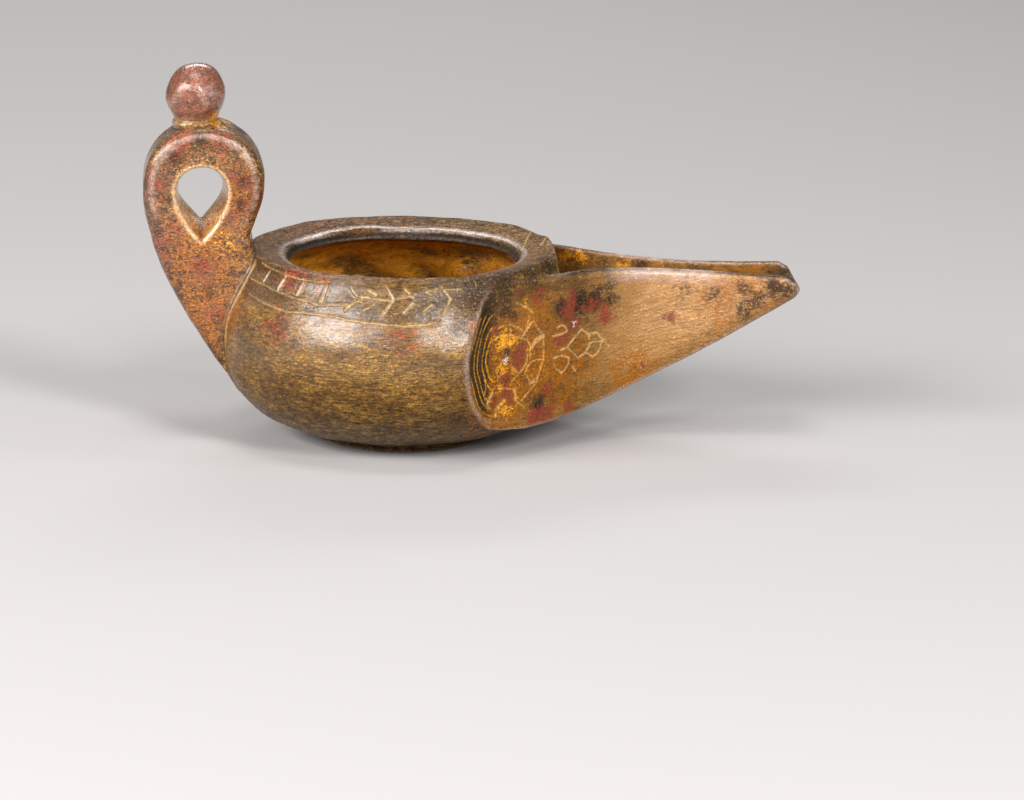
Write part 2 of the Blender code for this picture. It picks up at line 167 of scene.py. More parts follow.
class FlatShape:
    """A closed outline in a plane, kept as a table of distances, negative inside.

    Reading the table with a smooth spline gives a surface without facets, and breaks sharp
    corners by about the size of one cell.
    """

    def __init__(self, outline: list[Point], cell: float = 0.25, margin: float = 7.0) -> None:
        """Work out the table.

        Args:
            outline: corners in order, either way round.
            cell: spacing of the table.
            margin: how far the table reaches past the outline.
        """
        corners = np.array(outline, dtype=float)
        self.cell = cell
        self.low = corners.min(axis=0) - margin
        counts = np.ceil((corners.max(axis=0) + margin - self.low) / cell).astype(int) + 1
        u = self.low[0] + cell * np.arange(counts[0])[:, None]
        v = self.low[1] + cell * np.arange(counts[1])[None, :]
        nearest = np.full((counts[0], counts[1]), 1e9)
        inside = np.zeros(nearest.shape, dtype=bool)
        for a, b in zip(corners, np.roll(corners, -1, axis=0)):
            run = b - a
            length2 = max(float(run @ run), 1e-12)
            t = np.clip(((u - a[0]) * run[0] + (v - a[1]) * run[1]) / length2, 0.0, 1.0)
            gap = (u - a[0] - t * run[0]) ** 2 + (v - a[1] - t * run[1]) ** 2
            nearest = np.minimum(nearest, gap)
            if a[1] != b[1]:
                crossing = a[0] + (v - a[1]) * run[0] / run[1]
                inside ^= ((a[1] > v) != (b[1] > v)) & (u < crossing)
        self.table = np.sqrt(nearest) * np.where(inside, -1.0, 1.0)

    def distance(self, u: Array, v: Array) -> Array:
        """Signed distance of places in the plane from the outline."""
        u, v = np.broadcast_arrays(u, v)
        long, wide = self.table.shape
        u, v = (u - self.low[0]) / self.cell, (v - self.low[1]) / self.cell
        inner_u, inner_v = np.clip(u, 1.0, long - 2.001), np.clip(v, 1.0, wide - 2.001)
        beyond = np.hypot(u - inner_u, v - inner_v)
        row, column = inner_u.astype(int), inner_v.astype(int)
        weights_u, weights_v = spline_weights(inner_u - row), spline_weights(inner_v - column)
        flat = self.table.ravel()
        total = np.zeros(u.shape)
        for i in range(4):
            base = (row + i - 1) * wide + column - 1
            for j in range(4):
                total += weights_u[i] * weights_v[j] * flat[base + j]
        return total + beyond * self.cell


@dataclass
class Bowl:
    """The round, hollow body with its low foot and its wide, slightly dished rim."""

    contact_radius: float = 20.5
    foot_radius: float = 24.0
    foot_height: float = 2.4
    foot_undercut: float = 0.8
    belly_radius: float = 42.0
    belly_height: float = 24.0
    rim_radius: float = 34.8
    rim_height: float = 43.1
    mouth_radius: float = 25.8
    mouth_dip: float = 2.0
    lip_depth: float = 2.2
    wall: float = 3.6
    floor: float = 3.4
    edge: float = 1.1
    shoulder_degrees: float = -74.0
    base_degrees: float = 16.0
    bridge_x: float = 34.6
    bridge_degrees: float = 36.0
    bridge_depth: float = 4.2
    bridge_rounding: float = 0.4
    shapes: dict[str, FlatShape] = field(default_factory=dict)

    def __post_init__(self) -> None:
        """Draw the outlines once."""
        self.shapes = {
            "outside": FlatShape(mirrored(self.outside_half())),
            "hollow": FlatShape(mirrored(self.hollow_half())),
            "bridge_plan": FlatShape(self.bridge_plan()),
            "bridge_side": FlatShape(self.bridge_side()),
        }

    def outside_half(self) -> list[Point]:
        """Outline of the bowl from the axis under the foot to the axis over the mouth."""
        ridge = (self.rim_radius, self.rim_height)
        belly = (self.belly_radius, self.belly_height)
        foot = (self.foot_radius, self.foot_height)
        rise, fall = self.rim_height - self.belly_height, belly[1] - foot[1]
        upper = curve(ridge, along(ridge, self.shoulder_degrees, 0.24 * rise),
                      (belly[0], belly[1] + 0.42 * rise), belly)
        lower = curve(belly, (belly[0], belly[1] - 0.46 * fall),
                      along(foot, self.base_degrees, 0.69 * (belly[0] - foot[0])), foot)
        side = (upper + lower[1:])[::-1]
        base = [(0.0, 0.0), (self.contact_radius, 0.0),
                (self.contact_radius + self.foot_undercut, 0.62 * self.foot_height)]
        crest = (self.rim_radius - self.edge, self.rim_height + 0.1)
        slope = self.mouth_dip / (crest[0] - self.mouth_radius)
        inner_z = self.rim_height - self.mouth_dip - 0.1 * self.mouth_radius * slope
        return base + side + [crest, (0.9 * self.mouth_radius, inner_z), (0.0, inner_z)]

    def hollow_half(self) -> list[Point]:
        """Outline of the hollow, which is wider than the mouth above it."""
        mouth_z = self.rim_height - self.mouth_dip
        lip_bottom = mouth_z - self.lip_depth
        wide = self.mouth_radius + self.edge
        belly = (self.belly_radius - self.wall, self.belly_height)
        rim = (self.foot_radius - self.wall, self.floor + 1.2)
        under_lip = (wide, lip_bottom)
        vault = curve(under_lip, (0.45 * wide + 0.55 * belly[0], lip_bottom - 1.2),
                      (belly[0], belly[1] + 0.45 * (lip_bottom - belly[1])), belly)
        bottom = curve(belly, (belly[0], belly[1] - 0.46 * (belly[1] - rim[1])),
                       along(rim, 12, 0.62 * (belly[0] - rim[0])), rim)
        throat = [(0.0, self.rim_height + 10.0), (wide, self.rim_height + 10.0),
                  (wide, mouth_z + 0.3), (self.mouth_radius, mouth_z - self.edge),
                  (self.mouth_radius, lip_bottom + 0.5 * self.edge)]
        return throat + vault + bottom[1:] + [(0.0, self.floor)]

    def bridge_plan(self) -> list[Point]:
        """The squared front of the rim, seen from above."""
        leave = along((0.0, 0.0), self.bridge_degrees, self.rim_radius)
        drop = (self.bridge_x - leave[0]) / math.tan(math.radians(self.bridge_degrees))
        return both_sides([(0.8 * self.mouth_radius, leave[1]), leave,
                           (self.bridge_x, leave[1] - drop)])

    def bridge_side(self) -> list[Point]:
        """The squared front of the rim, seen from the side."""
        mouth_z = self.rim_height - self.mouth_dip
        inner, front, bottom = 0.8 * self.mouth_radius, self.bridge_x, mouth_z - self.bridge_depth
        return [(inner, bottom), (front, bottom), (front, self.rim_height - 0.5),
                (front - 0.8, self.rim_height - 0.1), (inner, mouth_z - 1.2)]

    def outside(self, place: Place) -> Array:
        """Distance from the outside of the bowl."""
        x, y, z = place
        return self.shapes["outside"].distance(np.hypot(x, y), z)

    def bridge(self, place: Place) -> Array:
        """Distance from the squared front of the rim."""
        x, y, z = place
        return shared(self.shapes["bridge_plan"].distance(x, y),
                      self.shapes["bridge_side"].distance(x, z), self.bridge_rounding)

    def hollow(self, place: Place) -> Array:
        """Distance from the hollow, negative inside it."""
        x, y, z = place
        return self.shapes["hollow"].distance(np.hypot(x, y), z)


@dataclass
class Spout:
    """The long open trough, with a flat panel on each side where it leaves the bowl."""

    cove: Point = (12.0, 40.4)
    panel: Point = (17.5, 31.4)
    panel_end: Point = (39.0, 15.0)
    waist: Point = (63.0, 6.7)
    tip: Point = (90.4, 9.7)
    wall: float = 2.4
    top_root: float = 40.2
    top_tip: float = 37.5
    bottom_root: float = 6.3
    bottom_start: float = 8.0
    bottom_tip: float = 32.5
    rise: float = 31.0
    floor: float = 3.0
    channel_half_width: float = 20.0
    bridge_x: float = 34.6
    bridge_bottom: float = 36.9
    shapes: dict[str, FlatShape] = field(default_factory=dict)

    def __post_init__(self) -> None:
        """Draw the outlines once."""
        self.shapes = {
            "plan": FlatShape(self.plan_outline(), margin=4.0),
            "block": FlatShape(self.block_outline()),
            "trough": FlatShape(self.trough_outline()),
        }

    def side_line(self) -> list[Point]:
        """Plan line of the +Y side, from the cove to the tip."""
        cove, panel, end = Vector(self.cove), Vector(self.panel), Vector(self.panel_end)
        outward = (cove - panel).normalized()
        run = (end - panel).normalized()
        bend = 0.32 * (cove - panel).length
        corner = curve(panel + outward * bend, panel + outward * bend * 0.4,
                       panel + run * bend * 0.4, panel + run * bend, 10)
        pull = 0.36 * (self.waist[0] - end.x)
        neck = curve(end, end + run * pull, (self.waist[0] - pull, self.waist[1]), self.waist)
        flare, spread = self.tip[0] - self.waist[0], self.tip[1] - self.waist[1]
        mouth = curve(self.waist, (self.waist[0] + 0.4 * flare, self.waist[1]),
                      (self.tip[0] - 0.4 * flare, self.tip[1] - 0.3 * spread), self.tip)
        return [tuple(cove)] + corner + neck + mouth[1:]

    def plan_outline(self) -> list[Point]:
        """Everything between the two sides of the spout, with all of the bowl behind it."""
        cove, panel = Vector(self.cove), Vector(self.panel)
        start = tuple(cove + (cove - panel).normalized() * 10.0)
        return both_sides([(-75.0, 60.0), (start[0], 60.0), start] + self.side_line()
                          + [(self.tip[0] + 10.0, self.tip[1])])

    def underside(self, lift: float) -> list[Point]:
        """Side line of the underside from the belly to the tip, lifted by a floor."""
        root_x = self.panel[0] + 0.40 * (self.panel_end[0] - self.panel[0])
        root = (root_x, self.bottom_root + lift)
        tip = (self.tip[0] - 1.2, self.bottom_tip + lift)
        pull = 0.34 * (tip[0] - root[0])
        return curve(root, (root[0] + pull, root[1]), along(tip, 180 + self.rise, pull), tip, 40)

    def block_outline(self) -> list[Point]:
        """The body of the spout seen from the side."""
        root = (self.panel_end[0], self.top_root)
        corner = (self.tip[0] - 3.2, self.top_tip)
        reach = corner[0] - root[0]
        top = curve(root, (root[0] + 0.3 * reach, root[1] - 0.8),
                    (root[0] + 0.6 * reach, corner[1] + 0.4), corner)
        left = self.panel[0]
        shoulder = curve((left, root[1] - 2.4), (left + 3.0, root[1] - 0.8), (left + 6.0, root[1]),
                         (left + 9.5, root[1]), 10)
        nose = [(self.tip[0] - 1.0, self.top_tip - 1.3), (self.tip[0], self.top_tip - 3.2)]
        below = self.underside(0.0)[::-1]
        turn = (0.6 * left + 0.4 * below[-1][0], 0.3 * self.bottom_start + 0.7 * self.bottom_root)
        back = [turn, (left, self.bottom_start), (left - 1.6, self.bottom_start + 1.9),
                (left - 3.0, self.bottom_start + 6.0)]
        return [(left - 3.0, root[1] - 7.0)] + shoulder + top + nose + below + back

    def trough_outline(self) -> list[Point]:
        """The open trough, and the way from it under the rim into the bowl, from the side."""
        floor = self.underside(self.floor)
        beyond = along(floor[-1], self.rise, 10.0)
        above = self.top_root + 13.0
        return ([(20.0, floor[0][1])] + floor
                + [beyond, (beyond[0], above), (self.bridge_x, above),
                   (self.bridge_x, self.bridge_bottom), (20.0, self.bridge_bottom)])

    def plan(self, place: Place) -> Array:
        """Distance from the two sides, negative between them."""
        return self.shapes["plan"].distance(place[0], place[1])

    def block(self, place: Place) -> Array:
        """Distance from the body of the spout, before its sides are cut."""
        x, y, z = place
        return np.maximum(self.shapes["block"].distance(x, z), np.abs(y) - self.panel[1] - 3.0)

    def trough(self, place: Place) -> Array:
        """Distance from the hollow of the spout, before its sides are limited."""
        x, y, z = place
        side = np.abs(y) - self.channel_half_width
        return np.maximum(self.shapes["trough"].distance(x, z), side)

    def beside(self, x: float, height: float) -> Spot:
        """A place on the near side at a distance along the lamp and a height above the table."""
        near_x, near_y = min(self.side_line(), key=lambda point: abs(point[0] - x))
        return near_x, -near_y, height

    def on_panel(self, run: float, height: float) -> Spot:
        """A place on the near side panel, by its run from the cove and its height."""
        start, end = Vector(self.panel), Vector(self.panel_end)
        spot = start + (end - start).normalized() * run
        if spot.x > self.panel_end[0]:
            return self.beside(spot.x, height)
        return spot.x, -spot.y, height


@dataclass
class Handle:
    """The thick upright plate: a ring with a finger hole above, and a spine down to the belly."""

    half_thickness: float = 8.5
    edge: float = 2.6
    ring: Point = (-45.3, 58.6)
    ring_radius: float = 13.8
    ring_end_degrees: float = -28.0
    spine_foot: Point = (-37.4, 11.2)
    spine_foot_degrees: float = 127.0
    notch: Point = (-34.9, 47.0)
    rim_height: float = 43.1
    hole_x: float = -45.9
    hole_top: float = 63.2
    hole_bottom: float = 46.1
    hole_width: float = 11.9
    hole_power: float = 0.9
    hole_waist: float = 0.9
    hole_saddle: float = 1.5
    hole_edge: float = 0.7
    shapes: dict[str, FlatShape] = field(default_factory=dict)

    def __post_init__(self) -> None:
        """Draw the outlines once."""
        self.shapes = {
            "plate": FlatShape(self.plate_outline()),
            "hole": FlatShape(self.hole_outline(), 0.15),
        }

    def plate_outline(self) -> list[Point]:
        """The plate seen from the side."""
        left = (self.ring[0] - self.ring_radius, self.ring[1])
        fall = self.ring[1] - self.spine_foot[1]
        pull = along(self.spine_foot, self.spine_foot_degrees, 0.336 * fall)
        spine = curve(left, (left[0], left[1] - 0.32 * fall), pull, self.spine_foot, 40)
        steps = 60
        turn = (180 - self.ring_end_degrees) / steps
        ring = [along(self.ring, self.ring_end_degrees + turn * i, self.ring_radius)
                for i in range(steps + 1)]
        x, rim = self.notch[0], self.rim_height
        buried = [(x - 1.0, self.spine_foot[1]), (x + 1.2, rim - 2.0), (x + 0.8, rim + 2.0)]
        return buried + [self.notch] + ring + spine[1:]

    def hole_outline(self) -> list[Point]:
        """The drop-shaped hole seen from the side: round above, and pointed below."""
        half_height = 0.5 * (self.hole_top - self.hole_bottom)
        middle = 0.5 * (self.hole_top + self.hole_bottom)
        turns = [2 * math.pi * i / 90 for i in range(90)]
        swells = [math.sin(turn) * math.sin(turn / 2) ** self.hole_power for turn in turns]
        widest = max(swells)
        return [(self.hole_x + 0.5 * self.hole_width * swell / widest,
                 middle - half_height * math.cos(turn)) for turn, swell in zip(turns, swells)]

    def plate(self, place: Place) -> Array:
        """Distance from the plate, with its hole."""
        x, y, z = place
        side = np.abs(y) - self.half_thickness
        flat = shared(self.shapes["plate"].distance(x, z), side, self.edge)
        return shared(flat, -self.hole(place), self.hole_edge)

    def hole(self, place: Place) -> Array:
        """Distance from the finger hole, which narrows half way through, most of all below."""
        x, y, z = place
        saddle = self.hole_waist + self.hole_saddle * eased(-z, -57.0, -50.0)
        waist = saddle * (1.0 - (y / self.half_thickness) ** 2)
        return self.shapes["hole"].distance(x, z) + np.maximum(waist, -1.0)


@dataclass
class Knob:
    """The ball on its short neck, with a low collar below it."""

    centre: Spot = (-46.9, 0.0, 78.5)
    radius: float = 7.1
    facets: tuple[Point, ...] = ((20, 10), (75, -15), (140, 12), (200, 25), (255, -8), (310, 20),
                                 (350, -20))
    facet_share: float = 0.975
    neck_radius: float = 4.9
    collar_radius: float = 5.6
    collar_z: float = 72.2
    collar_half_height: float = 0.75
    root_z: float = 66.9

    def ball(self, place: Place) -> Array:
        """Distance from the ball, a little flattened by its facets, with its neck and collar."""
        x, y, z = place
        dx, dy, dz = x - self.centre[0], y - self.centre[1], z - self.centre[2]
        ball = np.sqrt(dx * dx + dy * dy + dz * dz) - self.radius
        for turn, tilt in self.facets:
            a, b = math.radians(turn), math.radians(tilt)
            facet = (dx * math.cos(a) + dy * math.sin(a)) * math.cos(b) + dz * math.sin(b)
            ball = shared(ball, facet - self.facet_share * self.radius, 1.6)
        across = np.hypot(dx, dy)
        middle = 0.5 * (self.root_z + self.centre[2])
        half_height = self.centre[2] - middle
        neck = shared(across - self.neck_radius, np.abs(z - middle) - half_height, 0.3)
        collar = shared(across - self.collar_radius,
                        np.abs(z - self.collar_z) - self.collar_half_height, 0.6)
        return joined(joined(ball, neck, 0.8), collar, 0.5)


@dataclass
class Stroke:
    """One engraved line.

    Args:
        points: its corners, each as x, y and z.
        width: half of its width.
        depth: its depth.
        tone: how light the metal in it is, from 0 to 1.
        reach: how far beyond its corners it is felt.
        far: the distance that stands for places beyond that reach.
    """

    points: Array
    width: float = 0.26
    depth: float = 0.22
    tone: float = 1.0
    reach: float = 4.0
    far: float = 9.0

    def distance(self, spots: Array) -> Array:
        """Distance of places (one per row) from the line, or `far` beyond its reach."""
        nearest = np.full(len(spots), self.far)
        low, high = self.points.min(axis=0) - self.reach, self.points.max(axis=0) + self.reach
        close = np.flatnonzero(np.all((spots > low) & (spots < high), axis=1))
        local = spots[close]
        found = np.full(len(close), self.far ** 2)
        for a, b in zip(self.points[:-1], self.points[1:]):
            run = b - a
            t = np.clip((local - a) @ run / max(float(run @ run), 1e-9), 0.0, 1.0)
            found = np.minimum(found, np.sum((local - a - t[:, None] * run) ** 2, axis=1))
        nearest[close] = np.sqrt(found)
        return nearest

    def profile(self, gap: Array) -> Array:
        """Depth of the cut at a distance from its middle, with the low burr beside it."""
        burr = 0.2 * self.depth * bell(gap - 1.9 * self.width, 0.7 * self.width)
        return self.depth * bell(gap, self.width) - burr

    def mirrored(self) -> "Stroke":
        """The same line on the other side of the lamp."""
        return Stroke(self.points * MIRROR, self.width, self.depth, self.tone)


@dataclass
class Engraving:
    """The engraved ornament: a band on the shoulder, a ring of rays and a knot on each panel."""

    bowl: Bowl
    spout: Spout
    hair: float = 0.18
    bold: float = 0.34
    pitch: float = 1.0
    shoulder_pitch: float = 1.2
    shoulder_stretch: float = 0.63

    def on_shoulder(self, degrees: float, height: float) -> Spot:
        """A place on the shoulder of the bowl, by its bearing and height."""
        half = [point for point in self.bowl.outside_half() if point[1] > self.bowl.belly_height]
        radius = min(half, key=lambda point: abs(point[1] - height) - 0.01 * point[0])[0]
        return *along((0.0, 0.0), degrees, radius), height

    def dense(self, marks: list[Point], pitch: float, stretch: float = 1.0) -> list[Point]:
        """Marks with more between them, no further apart than a pitch."""
        found = []
        for (across_a, z_a), (across_b, z_b) in zip(marks[:-1], marks[1:]):
            far = math.hypot((across_b - across_a) * stretch, z_b - z_a)
            steps = max(1, int(far / pitch))
            found += [(across_a + i / steps * (across_b - across_a), z_a + i / steps * (z_b - z_a))
                      for i in range(steps)]
        return found + [marks[-1]]

    def shoulder_line(self, marks: list[Point], **looks: float) -> Stroke:
        """A line on the shoulder through marks given as bearing and height."""
        dense = self.dense(marks, self.shoulder_pitch, self.shoulder_stretch)
        return Stroke(np.array([self.on_shoulder(*mark) for mark in dense]), **looks)

    def panel_line(self, marks: list[Point], **looks: float) -> Stroke:
        """A line on the near panel through marks given as run and height."""
        dense = self.dense(marks, self.pitch)
        return Stroke(np.array([self.spout.on_panel(*mark) for mark in dense]), **looks)

    def ring_ornament(self) -> list[Stroke]:
        """Two uneven rings on the panel, with leaves and rays between them."""
        fine = [
            [(12.9, 31.1), (15, 28.4), (16.2, 26.9), (16.3, 24.1), (16.2, 21.7), (15.7, 20.4),
             (15, 18.7), (14.2, 17.1), (12.9, 15.5), (11.5, 14.3), (9.8, 13.1)],
            [(2.1, 28.6), (3.3, 29), (5.3, 28.9), (7.3, 28.4), (9.3, 27.6), (11.2, 27),
             (12.2, 25.6), (12.4, 24), (12.2, 22.6)],
            [(11.5, 23.6), (11.2, 21.9), (10.3, 20.5), (8.9, 19.2), (7, 18)],
            [(2.6, 30.6), (4.8, 31.2), (6.7, 30.9), (8.7, 30.1), (9.9, 29.2)],
            [(12, 30.5), (12.9, 31.1)], [(11.7, 32.2), (11.3, 31)], [(13, 25.3), (16, 26.9)],
            [(16.2, 21.7), (14.1, 22), (12.4, 21.5), (11.4, 20.5), (10.9, 19.3), (12.3, 17.2)],
            [(8.1, 35.8), (9.6, 35.1), (11.1, 34.3), (12.7, 33)], [(7.5, 13.8), (10.8, 11.4)],
            [(6.2, 31.2), (6.4, 29)], [(6.9, 21.4), (8.7, 19.6)], [(2.5, 19.6), (5, 20.4)],
            [(-2.4, 14.1), (-0.4, 12.8)], [(2.4, 17.1), (7.2, 16.2)], [(4.1, 10.9), (7.1, 11.7)],
            [(3.6, 26.9), (5.4, 26.2), (6.6, 26.9)], [(-2.2, 20.5), (-2.5, 17.5), (-2.3, 14.6)],
        ]
        leaves = [
            [(9.8, 27.9), (12, 30.5)], [(12.8, 25), (14.2, 26.8), (16, 27.2)],
            [(12.4, 16.7), (14.1, 17.3)], [(7.7, 16), (8.1, 13.9)],
            [(-1.1, 12.6), (-1.1, 13.9), (0.6, 16.1)], [(1.9, 10.8), (2.3, 12.4), (4.7, 14)],
        ]
        strokes = [self.panel_line(marks, width=self.hair, depth=0.2, tone=0.8) for marks in fine]
        return strokes + [self.panel_line(marks, width=self.bold, depth=0.26) for marks in leaves]

    def knot(self) -> list[Stroke]:
        """A square knot with a loop at each corner, right of the rings."""
        loops = [
            [(21.5, 23), (23.5, 23.4), (27.9, 26.9), (30.9, 24.4)],
            [(23.5, 23.4), (27, 20.4), (28.7, 21.3), (29.9, 22.8), (31.9, 23.5), (34.6, 23.3),
             (35.8, 22.2)],
            [(30.9, 24.4), (30.9, 25.6), (32.4, 25.6), (33.9, 24.3), (34.6, 23.3)],
            [(29.9, 22.8), (29.7, 21.3), (31, 20.1), (32.6, 20.6), (33.4, 21.9), (33.7, 23.1)],
            [(19.2, 26.6), (21.9, 26.7), (23.5, 27.1), (22.9, 28.2), (21.7, 28.8), (20.3, 28.4)],
            [(19.1, 21.5), (21.8, 21.7), (23.9, 21), (24.1, 19.6), (23.1, 18.4), (21.8, 17.7),
             (20.5, 18.7), (19.4, 20)],
            [(25.3, 18.6), (26.2, 17.5)],
        ]
        return [self.panel_line(marks, width=self.hair, depth=0.2, tone=0.95) for marks in loops]

    def shoulder_band(self) -> list[Stroke]:
        """Long wavering lines round the shoulder, with upright and then slanted cuts between."""
        lines = [
            [(-158, 42.4), (-148, 42), (-139, 41.6), (-130, 41.4), (-123, 41.6)],
            [(-108, 39.2), (-100, 38.8), (-93, 39.3), (-87, 40.4), (-81, 41), (-72, 40.6)],
            [(-161, 38.6), (-150, 38.5), (-138, 37.7), (-128, 37.2), (-123, 36.7), (-111, 37.5),
             (-107, 39.1)],
            [(-157, 35.8), (-143, 34.9), (-135, 34.4), (-127, 34.8), (-118, 34.8), (-110, 34.4),
             (-102, 34), (-93, 33.6), (-86, 33.9), (-81, 34.4)],
        ]
        cuts = [
            ([(-150.5, 41.5), (-151.5, 38.8)], 0.22), ([(-140.5, 41.3), (-142, 38.2)], 0.34),
            ([(-131.5, 40.9), (-132.6, 38)], 0.22), ([(-121.5, 40.8), (-122.1, 37.4)], 0.3),
        ]
        for i in range(6):
            lean, change, turn = 0.5 * math.sin(2.1 * i), 0.06 * (i % 2), 6.6 * i
            upper = [(-112.5 + turn, 41.1 - lean), (-109.6 + turn, 39.3 + lean)]
            lower = [(-110.0 + turn, 38.2 - lean), (-113.0 + turn, 36.2 + lean)]
            cuts += [(upper, 0.2 + change), (lower, 0.26 - change)]
        strokes = [self.shoulder_line(marks, width=self.hair, depth=0.2, tone=0.85)
                   for marks in lines]
        return strokes + [self.shoulder_line(marks, width=width, depth=0.24)
                          for marks, width in cuts]

    def rim_cuts(self) -> list[Stroke]:
        """Two thin cuts across the rim beside the spout."""
        cuts = [[(30.4, 15.0, 43.2), (29.2, 10.5, 42.7), (27.3, 2.2, 42.0)],
                [(34.0, 10.2, 43.2), (32.9, 5.6, 43.0), (31.6, 1.6, 42.8)]]
        return [Stroke(np.array(marks), width=self.hair, depth=0.15, tone=0.7) for marks in cuts]

    def strokes(self) -> list[Stroke]:
        """All strokes: those of the near side, their mirror images, and the cuts on the rim."""
        near = self.ring_ornament() + self.knot() + self.shoulder_band()
        return near + [stroke.mirrored() for stroke in near] + self.rim_cuts()


class Tint(Enum):
    """The kinds of patch in the patina."""

    OCHRE = "ochre"
    AMBER = "amber"
    DARK = "dark"
    RED = "red"
    PALE = "pale"


@dataclass(frozen=True)
class Patch:
    """One patch of patina: its kind, its middle, its reach and its strength."""

    tint: Tint
    middle: Spot
    reach: float
    strength: float = 1.0


